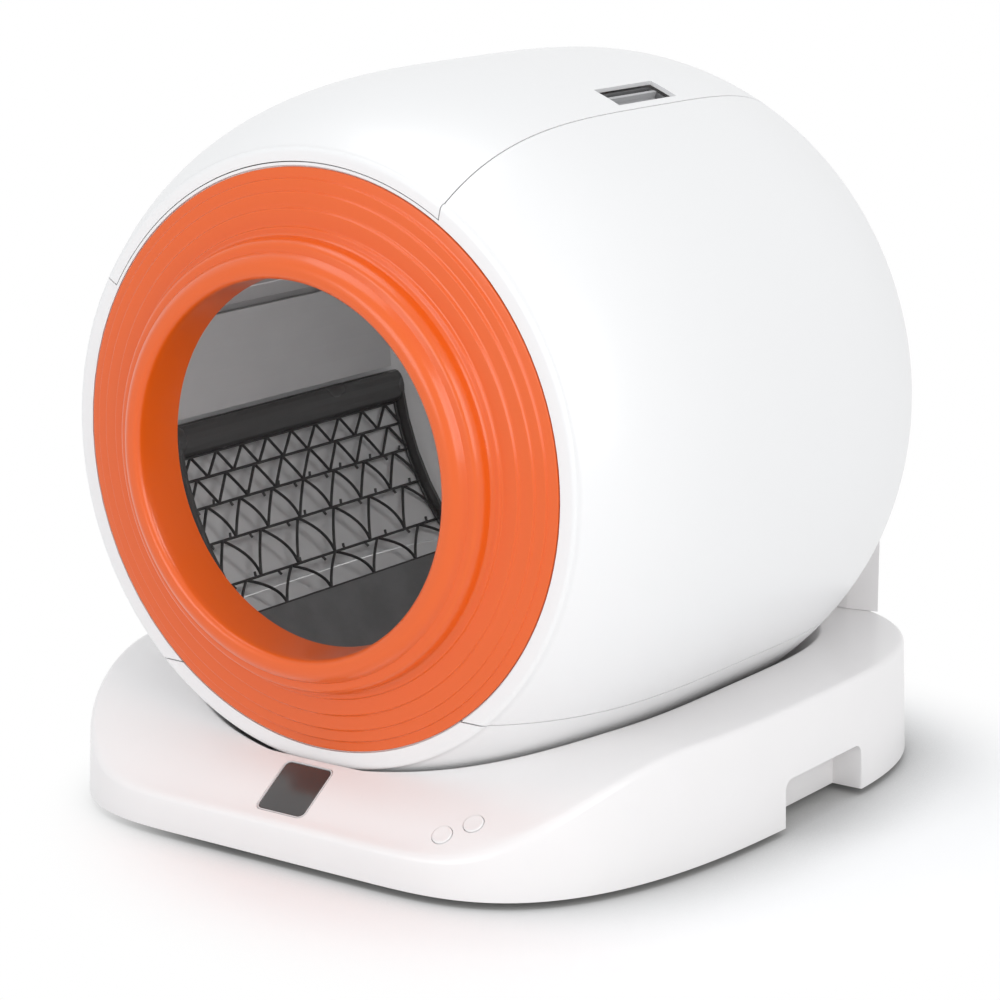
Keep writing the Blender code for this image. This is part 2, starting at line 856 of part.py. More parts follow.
# Litter liner
def polar(angle, radius):
    """A point at an angle down from the top on the left side."""
    return (-radius * sin(angle), radius * cos(angle))


inside_space = drum_tool("inside_space", drum_inside_profile(inner_gap), False, cutter=True)


def add_liner():
    """Dark litter bed liner, and the ramp that leads from it up to the sieve."""
    shape = drum_inside_profile(inner_gap)
    liner = drum_tool("litter_liner", shape, False, material=dark_grey, home=drum_home)
    bed = drum_tool("bed_space", drum_inside_profile(inner_gap + liner_wall), False, cutter=True)
    outline = [(0, 0)] + arc(wide, liner_right_angle, 2 * pi - liner_left_angle, 4)
    span = drum_prism("liner_span", outline, liner_front_y, liner_back_y, cutter=True)
    cut(liner, bed)
    keep(liner, span)
    low = liner_left_angle - seam_gap / drum_radius
    high = sieve_row_angles[-1] + seam_gap / sieve_radius
    outside = drum_inner_radius + liner_wall
    middle = (low + high) / 2
    bend = (drum_inner_radius + sieve_radius) / 2
    ramp = drum_prism(
        "liner_ramp",
        [polar(low, outside), polar(low, drum_inner_radius - liner_wall - facet_sag),
         polar(middle, bend - ramp_wall), polar(high, sieve_radius),
         polar(high, sieve_radius + ramp_wall), polar(middle, bend)],
        sieve_front_y, sieve_back_y, material=dark_grey, home=drum_home,
    )
    keep(ramp, inside_space)


# Sieve: rows of triangles between rails that run front to back
def rail_nodes(line):
    """Places along y where struts meet one rail of the sieve."""
    length = sieve_back_y - sieve_front_y
    places = {0.0, 1.0}
    if line > 0:
        cells = sieve_row_cells[line - 1]
        places |= {j / cells for j in range(cells + 1)}
    if line < len(sieve_row_cells):
        cells = sieve_row_cells[line]
        places |= {(j + 0.5) / cells for j in range(cells)}
    return sorted({round(sieve_front_y + length * share, 6) for share in places})


def sieve_point(y, angle, inward):
    """A point on the sieve's round surface."""
    x, z = polar(angle, sieve_radius - inward)
    return (x, y, z)


def add_sieve():
    """A curved lattice of triangular openings. The lower rows bow into the drum."""
    bm = bmesh.new()
    corners = {}

    def corner(line, y):
        key = (line, round(y, 6))
        if key not in corners:
            corners[key] = bm.verts.new(sieve_point(y, sieve_row_angles[line], 0))
        return corners[key]

    def rail(line, y_from, y_to):
        low, high = min(y_from, y_to), max(y_from, y_to)
        small = merge_distance
        found = [y for y in rail_nodes(line) if low - small < y < high + small]
        if y_from > y_to:
            found.reverse()
        return [corner(line, y) for y in found]

    length = sieve_back_y - sieve_front_y
    for row, cells in enumerate(sieve_row_cells):
        pitch = length / cells
        bow = sieve_bow_rows[row]
        middle_angle = (sieve_row_angles[row] + sieve_row_angles[row + 1]) / 2
        lows = [sieve_front_y + pitch * j for j in range(cells + 1)]
        highs = [sieve_front_y] + [y + pitch / 2 for y in lows[:-1]] + [sieve_back_y]
        bends = {}

        def strut(y_low, y_high):
            """The bent middle of one strut."""
            key = (round(y_low, 6), round(y_high, 6))
            on_side = key[0] == key[1]
            if bow == 0 or on_side:
                return []
            if key not in bends:
                bends[key] = bm.verts.new(sieve_point((y_low + y_high) / 2, middle_angle, bow))
            return [bends[key]]

        for j in range(cells):
            y_low, y_next, y_top = lows[j], lows[j + 1], highs[j + 1]
            up = rail(row + 1, y_low, y_next) + strut(y_next, y_top)
            up += rail(row, y_top, y_top) + strut(y_low, y_top)
            bm.faces.new(up)
        for j in range(cells + 1):
            y_first, y_last, y_foot = highs[j], highs[j + 1], lows[j]
            down = rail(row, y_last, y_first) + strut(y_foot, y_first)
            down += rail(row + 1, y_foot, y_foot) + strut(y_foot, y_last)
            bm.faces.new(down)
    holes = list(bm.faces)
    bmesh.ops.recalc_face_normals(bm, faces=holes)
    bm.normal_update()
    bmesh.ops.inset_individual(bm, faces=holes, thickness=sieve_bar / 2, use_even_offset=True)
    bmesh.ops.delete(bm, geom=holes, context="FACES_ONLY")
    bmesh.ops.recalc_face_normals(bm, faces=bm.faces)
    mesh = bpy.data.meshes.new("sieve_screen")
    bm.to_mesh(mesh)
    bm.free()
    sieve = add("sieve_screen", mesh, dark_grey, drum_home, drum_axis)
    solid = sieve.modifiers.new("wall", "SOLIDIFY")
    solid.thickness = sieve_thickness
    solid.offset = 1
    return sieve


def lip_point(along, out):
    """A point by the lip: along the wall, downwards, and out from the sieve's back."""
    middle = (lip_top_angle + lip_low_angle) / 2
    x, z = polar(middle, sieve_radius + sieve_thickness + seat_gap + out)
    return (x - along * cos(middle), z - along * sin(middle))


def add_lip():
    """Rounded rail above the sieve. Its web meets two end walls that close the litter pocket."""
    half = sieve_radius * (lip_low_angle - lip_top_angle) / 2
    steps = 8
    points = []
    for i in range(steps + 1):
        turn = pi * i / steps
        points.append(lip_point(half * cos(turn), -lip_nose * sin(turn) - lip_nose / 2))
    web = lip_web / 2
    points += [lip_point(-half, 0), lip_point(-web, 0), lip_point(-web, wide - sieve_radius)]
    points += [lip_point(web, wide - sieve_radius), lip_point(web, 0), lip_point(half, 0)]
    low_y = sieve_front_y - seat_gap - sieve_frame_wall
    high_y = sieve_back_y + seat_gap + sieve_frame_wall
    lip = drum_prism("sieve_frame", points, low_y, high_y, material=dark_grey, home=drum_home)
    start = (lip_top_angle + lip_low_angle) / 2
    end = sieve_row_angles[-1]
    inner = sieve_radius - sieve_thickness - max(sieve_bow_rows)
    steps = 5
    outline = [polar(start, wide), polar(end, wide)]
    outline += [polar(end + (start - end) * i / steps, inner) for i in range(steps + 1)]
    bm = bmesh.new()
    add_prism(bm, outline, low_y, sieve_front_y - seat_gap)
    add_prism(bm, outline, sieve_back_y + seat_gap, high_y)
    ends = add("sieve_end_walls", finish_mesh(bm, "sieve_end_walls"), at=drum_axis, cutter=True)
    boolean(lip, ends, "UNION")
    keep(lip, inside_space)


def add_chute():
    """Smooth curved wall above the lip that leads waste up to the tub's flap."""
    steps = 5
    outer = chute_radius + chute_wall
    low, high = chute_low_angle, chute_top_angle
    outline = [polar(low + (high - low) * i / steps, chute_radius) for i in range(steps + 1)]
    outline += [polar(high + (low - high) * i / steps, outer) for i in range(steps)]
    web = chute_wall / chute_radius
    outline += [polar(low - web, outer), polar(low - web, wide), polar(low, wide)]
    ends = (sieve_front_y, sieve_back_y)
    chute = drum_prism("chute_wall", outline, *ends, material=light_grey, home=drum_home)
    keep(chute, inside_space)
    out = tub_floor_distance - seat_gap
    keep(chute, drum_prism(
        "below_tub",
        [tub_point(-wide, out), tub_point(-wide, -wide), tub_point(wide, -wide), tub_point(wide, out)],
        2 * sieve_front_y, 2 * sieve_back_y, cutter=True,
    ))


# Waste tub
def tub_point(along, out):
    """A point on the tub's sloping floor: along it towards +X, and out from the axis."""
    x = along * cos(tub_floor_slope) - out * sin(tub_floor_slope)
    z = along * sin(tub_floor_slope) + out * cos(tub_floor_slope)
    return (x, z)


def tub_outline(inset):
    """Cross-section of the tub beyond its floor line, left of the hatch's right seam."""
    top_angle = asin(hatch_right_x / drum_radius)
    top_z = drum_radius * cos(top_angle)
    lean = sin(hatch_right_lean) / cos(hatch_right_lean)
    out = tub_floor_distance + inset
    wall_x = hatch_right_x - 3 * seam_gap - inset
    slope_x, slope_z = tub_point(1, 0)
    start_x, start_z = tub_point(0, out)
    along = (wall_x + (start_z - top_z) * lean - start_x) / (slope_x - slope_z * lean)
    right = tub_point(along, out)
    top_right = (wall_x + (far_radius - top_z) * lean, far_radius)
    return [tub_point(-far_radius, out), right, top_right, (-far_radius, far_radius)]


flap_left = flap_start - sqrt(chute_radius ** 2 - tub_floor_distance ** 2)
flap_right = flap_left + flap_length
flap_hinge = tub_point(flap_right, tub_floor_distance + flap_thickness / 2)
flap_home = make_home("flap_axis", drum_axis + Vector((flap_hinge[0], 0, flap_hinge[1])), drum_home)


def flap_room(low_share, high_share, margin):
    """Cross-section of the flap's place in the tub's floor, moved out by a margin."""
    low = tub_floor_distance + tub_wall * low_share
    high = tub_floor_distance + tub_wall * high_share
    right = flap_right + flap_thickness / 2 + 2 * margin
    return [tub_point(flap_left - margin, low), tub_point(right, low),
            tub_point(right, high), tub_point(flap_left - margin, high)]


def add_tub():
    """Thin waste tub that hugs the shell below the hatch, with the flap's inlet in its floor.

    Its right-hand rim ends below the latch along its whole length.
    """
    tub = drum_tool("waste_tub", drum_inside_profile(inner_gap), False, material=mid_grey, home=drum_home)
    keep(tub, drum_prism("tub_section", tub_outline(0), tub_front_y, tub_back_y, cutter=True))
    hollow = drum_tool("tub_hollow", drum_inside_profile(inner_gap + tub_wall), False, cutter=True)
    keep(hollow, drum_prism("tub_hollow_section", tub_outline(tub_wall), tub_front_y + tub_wall,
                            tub_back_y - tub_wall, cutter=True))
    mouth = drum_prism(
        "tub_mouth", hatch_outline(tub_rim, tub_mouth_radius, wide),
        tub_front_y + tub_rim, tub_back_y - tub_rim, cutter=True,
    )
    cut(tub, hollow, mouth)
    gap = running_gap
    for sign, edge in ((-1, flap_front_y), (1, flap_back_y)):
        low, high = sorted((edge + sign * gap, edge + sign * flap_pin_reach))
        name = "flap_boss_%s" % ("front" if sign < 0 else "back")
        radius = flap_pin_radius + tub_wall
        boolean(tub, bar(name, radius, low, high, 12, "Y", flap_hinge, at=drum_axis, cutter=True), "UNION")
    inlet = drum_prism("tub_inlet", flap_room(-2, 3, gap), flap_front_y - gap, flap_back_y + gap, cutter=True)
    bore = bar("flap_pin_bore", round_room(flap_pin_radius, 12), flap_front_y - flap_pin_reach - gap,
               flap_back_y + flap_pin_reach + gap, 12, "Y", flap_hinge, at=drum_axis, cutter=True)
    margin = 2 * running_gap
    left = -recess_half - recess_wall - margin
    reach = seam_along + strike_length
    low = -recess_depth - latch_thickness
    latch_room = drum_prism(
        "latch_room",
        [recess_point(left, cutter_overrun), recess_point(reach, cutter_overrun),
         recess_point(reach, low), recess_point(left, low)],
        tub_front_y - cutter_overrun, tub_back_y + cutter_overrun, cutter=True,
    )
    cut(tub, inlet, bore, latch_room)
    swing = hypot(tab_reach, skin_depth() + tab_gap + facet_sag + tab_thickness) + tab_gap
    for i, y in enumerate(tab_places):
        half = tab_width / 2 + tab_gap
        room = drum_prism(
            "tab_room_%d" % (i + 1),
            [seam_point(-swing, 0), seam_point(tab_root + swing, 0),
             seam_point(tab_root + swing, -swing), seam_point(-swing, -swing)],
            y - half, y + half, cutter=True,
        )
        cut(tub, room)


def add_flap():
    """Gravity flap over the tub's inlet, with a pin moulded along its edge."""
    gap = running_gap
    low = tub_floor_distance
    high = tub_floor_distance + flap_thickness
    flap = drum_prism(
        "tub_flap",
        [tub_point(flap_left + gap, low), tub_point(flap_right, low), tub_point(flap_right, high),
         tub_point(flap_left + gap, high)],
        flap_front_y + gap, flap_back_y - gap, material=light_grey, home=flap_home,
    )
    barrel = bar("flap_barrel", flap_pin_radius, flap_front_y - flap_pin_reach, flap_back_y + flap_pin_reach,
                 12, "Y", flap_hinge, at=drum_axis, cutter=True)
    boolean(flap, barrel, "UNION")


# Gears
def involute(angle):
    return sin(angle) / cos(angle) - angle


def gear_outline(teeth, shares, phase, middle=(0, 0)):
    """Outline of a spur gear. Shares place the flank points between root and tip."""
    pitch_radius = gear_module * teeth / 2
    pressure = radians(20)
    root = pitch_radius - 1.2 * gear_module
    tip = pitch_radius + 0.92 * gear_module
    thin = gear_backlash / 2 / pitch_radius
    points = []
    for tooth in range(teeth):
        middle_angle = phase + 2 * pi * tooth / teeth
        sides = []
        for share in shares:
            radius = root + (tip - root) * share
            base = pitch_radius * cos(pressure)
            flank = acos(min(1, base / radius))
            half = pi / 2 / teeth + involute(pressure) - involute(flank) - thin
            sides.append((radius, half))
        for radius, half in sides:
            angle = middle_angle - half
            points.append((middle[0] + radius * sin(angle), middle[1] + radius * cos(angle)))
        for radius, half in reversed(sides):
            angle = middle_angle + half
            points.append((middle[0] + radius * sin(angle), middle[1] + radius * cos(angle)))
    return points


pinion_home = make_home("pinion_axis", (0, 0, pinion_z))
shaft_end_y = (gearbox_front_y + 2 * gearbox_back_y) / 3


def add_drive():
    """Gear on the drum's back, its pinion and shaft, and the gearbox with its motor."""
    gear = drum_prism("drum_gear", gear_outline(gear_teeth, (0, 1), 0), gear_front_y, gear_back_y,
                      material=acetal, home=drum_home)
    cut(gear, bar("gear_bore", gear_bore_radius, gear_front_y - gear_width, gear_back_y + gear_width,
                  drum_steps, at=drum_axis, cutter=True))

    place = {"home": pinion_home, "at": (0, 0, pinion_z)}
    pinion_outline = gear_outline(pinion_teeth, (0, 0.5, 1), pi / pinion_teeth)
    pinion = prism("drive_pinion", pinion_outline, gear_front_y, gear_back_y, material=acetal, **place)
    bar("drive_shaft", shaft_radius, gear_front_y + seat_gap, shaft_end_y, 12, material=steel, **place)
    cut(pinion, bar("pinion_bore", shaft_radius + seat_gap, gear_front_y - gear_width, shaft_end_y, 12,
                    at=(0, 0, pinion_z), cutter=True))

    half = gearbox_width / 2
    top_z = pinion_z + half
    low_z = plate_top + seat_gap
    foot_z = low_z + gearbox_foot_height
    foot_y = gearbox_back_y - gearbox_foot_depth
    outline = [
        (foot_y, low_z), (gearbox_back_y, low_z), (gearbox_back_y, top_z), (gearbox_front_y, top_z),
        (gearbox_front_y, foot_z), (foot_y, foot_z),
    ]
    gearbox = side_prism("drive_gearbox", outline, -half, half, material=dark_grey)
    cut(gearbox, bar("gearbox_bore", round_room(shaft_radius, 12), gearbox_front_y - gear_width,
                     shaft_end_y + running_gap, 12, at=(0, 0, pinion_z), cutter=True))
    motor_place = (gearbox_back_y - gearbox_foot_depth / 2, low_z + gearbox_foot_height / 2)
    bar("drive_motor", motor_radius, half + seat_gap, half + seat_gap + motor_length, 20, "X", motor_place,
        material=zinc)


def add_hub():
    """Bearing bush in the drum's back and the fixed pin that it turns on."""
    bore = round_room(hub_pin_radius, 24)
    sleeve = back_bore_radius - seat_gap
    neck = sleeve * hub_neck_share
    back = drum_back_y + seat_gap
    plate = hub_flange_thickness
    profile = [
        (bore, back + hub_back), (neck, back + hub_back), (neck, back + plate),
        (hub_flange_radius, back + plate), (hub_flange_radius, back), (sleeve, back),
        (sleeve, drum_back_y - drum_wall - plate), (bore, drum_back_y - drum_wall - plate),
    ]
    turned("drum_hub", profile, 24, material=acetal, home=drum_home, at=drum_axis, turn=y_up)
    front = drum_back_y - drum_wall - plate + seat_gap
    flange_front = tower_front_y - seat_gap - plate
    pin = [
        (0, tower_front_y - seat_gap), (2 * hub_pin_radius, tower_front_y - seat_gap),
        (2 * hub_pin_radius, flange_front), (hub_pin_radius, flange_front),
        (hub_pin_radius, front), (0, front),
    ]
    turned("hub_pin", pin, 24, closed=False, material=steel, at=drum_axis, turn=y_up)


# Base outline
def plan_half_width(y, inset):
    """Half width of the base's outline at y, all its edges moved in."""
    if y < base_middle_y:
        share = (base_middle_y - y) / (base_middle_y - base_front_y - inset)
        share = min(share, 1)
        side = base_half_width - inset - base_front_flat
        return base_front_flat + side * (1 - share ** base_front_power) ** (1 / base_front_power)
    share = (y - base_middle_y) / (base_back_y - inset - base_middle_y)
    share = min(share, 1)
    side = base_half_width - inset - base_back_flat
    return base_back_flat + side * (1 - share ** base_back_power) ** (1 / base_back_power)


def plan_stations(inset):
    """Places along y, close together where the outline turns."""
    front = base_front_y + inset
    back = base_back_y - inset
    places = []
    for i in range(plan_steps + 1):
        turn = pi / 2 * i / plan_steps
        places.append(base_middle_y - (base_middle_y - front) * cos(turn) ** (2 / base_front_power))
    for i in range(1, plan_steps):
        turn = pi / 2 * (1 - i / (plan_steps - 1))
        places.append(base_middle_y + (back - base_middle_y) * cos(turn) ** (2 / base_back_power))
    corner = base_edge_radius * edge_round_share
    places += [front + corner, back - corner]
    return sorted(places)


def ramp_height(y, inset):
    """Height of the base's top at y: a long S curve from the front edge up to the flat deck."""
    start = base_front_y
    end = base_front_y + ramp_length
    if y >= end:
        return base_height - inset
    low, high = 0.0, 1.0
    for _ in range(40):
        t = (low + high) / 2
        u = 1 - t
        place = u ** 3 * start + 3 * u * u * t * (start + ramp_foot_pull)
        place += 3 * u * t * t * (end - ramp_head_pull) + t ** 3 * end
        if place < y:
            low = t
        else:
            high = t
    u = 1 - low
    foot = u ** 3 + 3 * u * u * low
    return ramp_foot_height * foot + base_height * (1 - foot) - inset


def top_height(y, inset):
    """Ramp height with the front and back edges rounded."""
    near = min(y - base_front_y - inset, base_back_y - inset - y)
    reach = max(0, base_edge_radius - near)
    drop = base_edge_radius - sqrt(max(0, base_edge_radius ** 2 - reach ** 2))
    return ramp_height(y, inset) - drop


def base_loft(name, inset, bottom, **place):
    """Sections across the base joined from the front to the back."""
    bm = bmesh.new()
    rings = []
    edge = base_edge_radius
    for y in plan_stations(inset):
        half = plan_half_width(y, inset)
        top = top_height(y, inset)
        foot = half + base_draft * (base_underside - bottom)
        head = half - base_draft * (top - base_underside)
        corner = edge * edge_round_share
        side = [(foot, bottom), (head, top - edge), (head - corner, top - corner), (head - edge, top)]
        section = side + [(-x, z) for x, z in reversed(side)]
        rings.append([bm.verts.new((x, y, z)) for x, z in section])
    for first, second in zip(rings, rings[1:]):
        count = len(first)
        for i in range(count):
            j = (i + 1) % count
            bm.faces.new((first[i], first[j], second[j], second[i]))
    bm.faces.new(rings[0])
    bm.faces.new(rings[-1])
    return add(name, finish_mesh(bm, name), **place)


def plan_outline(inset):
    """The base's outline seen from above."""
    right = [(plan_half_width(y, inset), y) for y in plan_stations(inset)]
    return right + [(-x, y) for x, y in reversed(right)]


def well_gap(y):
    """Running gap round the drum at y: narrow at the front, wider at the back."""
    limit = body_front_y if y < drum_middle_y else body_back_y
    end_gap = well_front_gap if y < drum_middle_y else well_back_gap
    share = (y - drum_middle_y) / (limit - drum_middle_y)
    return well_side_gap + (end_gap - well_side_gap) * share ** well_gap_power


def well_profile(extra):
    """Open outline of the hollow that the drum turns in."""
    outline = drum_outer_profile(body_back_y, body_front_y)
    back_y = drum_back_y + well_back_gap + extra
    front_y = drum_face_y - well_front_gap - extra
    profile = [(0, back_y), (back_flat_radius, back_y)]
    for i, (_, y) in enumerate(outline):
        profile.append(inset_profile(outline, -well_gap(y) - extra)[i])
    profile.append((front_flat_radius + well_front_gap, front_y))
    profile.append((0, front_y))
    return profile


def notch_outline(margin):
    """Side view of a hand hold, open below, with round upper corners."""
    low = notch_front_y - margin
    high = notch_back_y + margin
    top = notch_top + margin
    corner = notch_corner + margin
    steps = 3
    points = [(low, base_underside - cutter_overrun), (high, base_underside - cutter_overrun)]
    for i in range(steps + 1):
        turn = pi / 2 * i / steps
        points.append((high - corner + corner * cos(turn), top - corner + corner * sin(turn)))
    for i in range(steps + 1):
        turn = pi / 2 + pi / 2 * i / steps
        points.append((low + corner + corner * cos(turn), top - corner + corner * sin(turn)))
    return points


def side_prism(name, outline, low, high, **place):
    """A side view outline pushed along X."""
    bm = bmesh.new()
    add_prism(bm, outline, low, high, "X")
    return add(name, finish_mesh(bm, name), **place)


def place_on_ramp(y):
    """Point and slope of the ramp's surface at y."""
    rise = ramp_height(y + slope_step, 0) - ramp_height(y - slope_step, 0)
    return ramp_height(y, 0), atan2(rise, 2 * slope_step)


def add_base():
    """The moulded base housing with its well, ramp, windows and hand holds."""
    housing = base_loft("base_housing", 0, base_underside, material=warm_white)
    cavity = base_loft("base_cavity", base_wall, base_underside - cutter_overrun, cutter=True)
    well = drum_tool("well", well_profile(0), False, cutter=True)
    well_outside = drum_tool("well_outside", well_profile(well_wall), False, cutter=True)
    cut(cavity, well_outside)
    inner_x = base_half_width - notch_depth
    far_x = base_half_width + cutter_overrun
    for sign, side in ((1, "right"), (-1, "left")):
        low, high = sorted((sign * (inner_x - notch_wall), sign * far_x))
        wall = side_prism("notch_wall_" + side, notch_outline(notch_wall), low, high, cutter=True)
        cut(cavity, wall)
    cut(housing, cavity, well)
    for sign, side in ((1, "right"), (-1, "left")):
        low, high = sorted((sign * inner_x, sign * far_x))
        cut(housing, side_prism("notch_" + side, notch_outline(0), low, high, cutter=True))

    bm = bmesh.new()
    reach_x = cradle_width / 2 + window_margin
    reach_y = roller_width / 2 + roller_side_gap + roller_ear + axle_head + window_margin
    window_top = roller_z + roller_radius + window_margin
    for sign in (1, -1):
        for y in (roller_front_y, roller_back_y):
            low = (sign * roller_x - reach_x, y - reach_y, plate_top - cutter_overrun)
            high = (sign * roller_x + reach_x, y + reach_y, window_top)
            add_box(bm, low, high)
    windows = add("roller_windows", finish_mesh(bm, "roller_windows"), cutter=True)
    cut(housing, windows)

    bm = bmesh.new()
    half = gearbox_width / 2 + window_margin
    add_box(bm, (-half, tower_front_y + tower_wall, base_height - 2 * base_wall),
            (half, base_back_y - base_wall, base_height + base_wall))
    reach = pinion_radius + gear_module + window_margin
    add_cylinder(bm, reach, drum_back_y, tower_front_y - window_margin, 20, "Y", (0, pinion_z))
    drive_room = add("drive_room", finish_mesh(bm, "drive_room"), cutter=True)
    cut(housing, drive_room)

    height, slope = place_on_ramp(display_middle_y)
    margin = bezel_width + seat_gap
    recess = prism(
        "display_recess",
        rounded_outline(display_width / 2 + margin, display_length / 2 + margin,
                        display_corner + bezel_width, 3),
        -display_depth, cutter_overrun / 2, "Z",
        at=(0, display_middle_y, height), turn=(slope, 0, 0), cutter=True,
    )
    cut(housing, recess)
    for i, (x, y) in enumerate(button_places):
        height, slope = place_on_ramp(y)
        bm = bmesh.new()
        add_cylinder(bm, button_radius + button_gap, -cutter_overrun / 2, cutter_overrun / 2, 16)
        hole = add("button_hole_%d" % (i + 1), finish_mesh(bm, "button_hole"), at=(x, y, height),
                   turn=(slope, 0, 0), cutter=True)
        cut(housing, hole)
    bm = bmesh.new()
    add_cylinder(bm, inlet_radius + seat_gap, base_back_y - base_wall - cutter_overrun / 2,
                 base_back_y + cutter_overrun, 16, "Y", (inlet_x, inlet_height))
    cut(housing, add("inlet_hole", finish_mesh(bm, "inlet_hole"), cutter=True))
    shade(housing)
    return housing


def add_floor_plate():
    """Bottom plate with screws, and the rubber feet below it."""
    inset = base_wall + seat_gap
    plan = plan_outline(inset)
    plate = prism("base_bottom_plate", plan, base_underside, plate_top, "Z", material=warm_white)
    for sign, side in ((1, "right"), (-1, "left")):
        low, high = sorted((sign * (base_half_width - notch_depth - notch_wall - seat_gap),
                            sign * (base_half_width + cutter_overrun)))
        outline = notch_outline(notch_wall + seat_gap)
        cut(plate, side_prism("plate_notch_" + side, outline, low, high, cutter=True))
    for i, place in enumerate(bottom_screw_places):
        add_screw("bottom_screw_%d" % (i + 1), plate, place, base_underside, "Z", 1)
    for side, x in (("left", -foot_x), ("right", foot_x)):
        for end, y in (("front", foot_front_y), ("back", foot_back_y)):
            bar("rubber_foot_%s_%s" % (end, side), foot_radius, 0, base_underside - seat_gap, 16, "Z", (x, y),
                material=rubber)


def add_screw(name, panel, place, face, along, inwards):
    """A screw head sunk in a panel's face, in a pocket of its own. Inwards is 1 or -1 along the axis."""
    low, high = sorted((face, face + inwards * screw_head_height))
    bar(name, screw_head_radius, low, high, 10, along, place, material=zinc)
    low, high = sorted((face - inwards * cutter_overrun, face + inwards * (screw_head_height + seat_gap)))
    pocket = bar(name + "_pocket", screw_head_radius + seat_gap, low, high, 10, along, place, cutter=True)
    cut(panel, pocket)


def add_display():
    """Black window in a pale frame, and the boards below the ramp."""
    height, slope = place_on_ramp(display_middle_y)
    place = {"at": (0, display_middle_y, height), "turn": (slope, 0, 0)}
    low = seat_gap - display_depth
    window_top = -display_sink
    prism("display_window", rounded_outline(display_width / 2, display_length / 2, display_corner, 3),
          low, window_top, "Z", material=black_glass, **place)
    outer = (display_width / 2 + bezel_width, display_length / 2 + bezel_width, display_corner + bezel_width)
    bezel = prism("display_bezel", rounded_outline(*outer, 3), low, window_top + 2 * seat_gap, "Z",
                  material=white, **place)
    inner = (display_width / 2 + seat_gap, display_length / 2 + seat_gap, display_corner + seat_gap)
    hole = prism("bezel_hole", rounded_outline(*inner, 3), low - cutter_overrun / 2, cutter_overrun / 2, "Z",
                 cutter=True, **place)
    cut(bezel, hole)

    bm = bmesh.new()
    board_low = plate_top + board_post
    add_box(bm, (-board_half, board_front_y, board_low), (board_half, board_front_y + board_length,
                                                          board_low + board_thickness))
    board = add("control_board", finish_mesh(bm, "control_board"), circuit_green)
    bm = bmesh.new()
    for x in (-board_half + board_edge, board_half - board_edge):
        for y in (board_front_y + board_edge, board_front_y + board_length - board_edge):
            post_top = board_low + board_thickness / 2
            add_cylinder(bm, post_radius, plate_top + seat_gap, post_top, 8, "Z", (x, y))
    boolean(board, add("board_posts", finish_mesh(bm, "board_posts"), cutter=True), "UNION")


def add_buttons():
    """Two round push buttons with stems, and the switch board below them."""
    for name, (x, y) in zip(button_names, button_places):
        height, slope = place_on_ramp(y)
        home = make_home(name + "_axis", (x, y, height))
        cap_low = button_rise - button_cap
        flat = button_radius * button_flat_share
        profile = [
            (0, button_rise), (flat, button_rise), (button_radius, button_rise / 2),
            (button_radius, cap_low), (button_stem_radius, cap_low),
            (button_stem_radius, cap_low - button_stem_length), (0, cap_low - button_stem_length),
        ]
        turned(name, profile, 20, closed=False, material=white, home=home,
               at=(x, y, height), turn=(slope, 0, 0))
    first, second = button_places
    middle = ((first[0] + second[0]) / 2, (first[1] + second[1]) / 2)
    height, slope = place_on_ramp(middle[1])
    bm = bmesh.new()
    half_x = (second[0] - first[0]) / 2 + button_radius + board_edge
    half_y = button_radius + board_edge
    top = button_rise - button_cap - button_stem_length - button_travel - switch_height - running_gap
    add_box(bm, (-half_x, -half_y, top - board_thickness), (half_x, half_y, top))
    board = add("button_board", finish_mesh(bm, "button_board"), circuit_green,
                at=(middle[0], middle[1], height), turn=(slope, 0, 0))
    bm = bmesh.new()
    for x, y in button_places:
        lift = (y - middle[1]) / cos(slope)
        add_box(bm, (x - middle[0] - switch_height, lift - switch_height, top - board_thickness / 2),
                (x - middle[0] + switch_height, lift + switch_height, top + switch_height))
    pin_top = -base_wall * cos(slope) - seat_gap
    for x in (-half_x + board_edge / 2, half_x - board_edge / 2):
        add_cylinder(bm, board_pin_radius, top - board_thickness / 2, pin_top, 8, "Z", (x, 0))
    boolean(board, add("board_parts", finish_mesh(bm, "board_parts"), at=(middle[0], middle[1], height),
                       turn=(slope, 0, 0), cutter=True), "UNION")


def roller_ear_bars(bm, x, ear_places):
    """Upright ears that hold a roller's axle, narrower at their heads."""
    low = plate_top + seat_gap + cradle_plate / 2
    top = roller_z + axle_radius + ear_head
    foot = cradle_width * ear_foot_share
    head = cradle_width * ear_head_share
    outline = [(x - foot, low), (x + foot, low), (x + head, top), (x - head, top)]
    for low_y, high_y in ear_places:
        add_prism(bm, outline, low_y, high_y)


def add_roller(name, x, y):
    """A rubber tyre on a dished hub. They turn together on a fixed axle."""
    home = make_home("roller_axis_" + name, (x, y, roller_z))
    place = {"home": home, "at": (x, y, roller_z), "turn": y_up}
    half = roller_width / 2
    bore = round_room(axle_radius, 12)
    rim = roller_hub_radius
    web = half * hub_web_share
    dish = rim * hub_web_share
    boss = bore * hub_boss_share
    hub = [(bore, half), (boss, half), (dish, web), (rim, half),
           (rim, -half), (dish, -web), (boss, -half), (bore, -half)]
    turned("roller_hub_" + name, hub, 12, material=acetal, **place)
    inner = (rim + seat_gap) / cos(pi / 12)
    soft = roller_side_gap
    tyre = [(inner, half), (roller_radius - soft, half), (roller_radius, half - soft),
            (roller_radius, soft - half), (roller_radius - soft, -half), (inner, -half)]
    turned("roller_tyre_" + name, tyre, 20, material=rubber, **place)


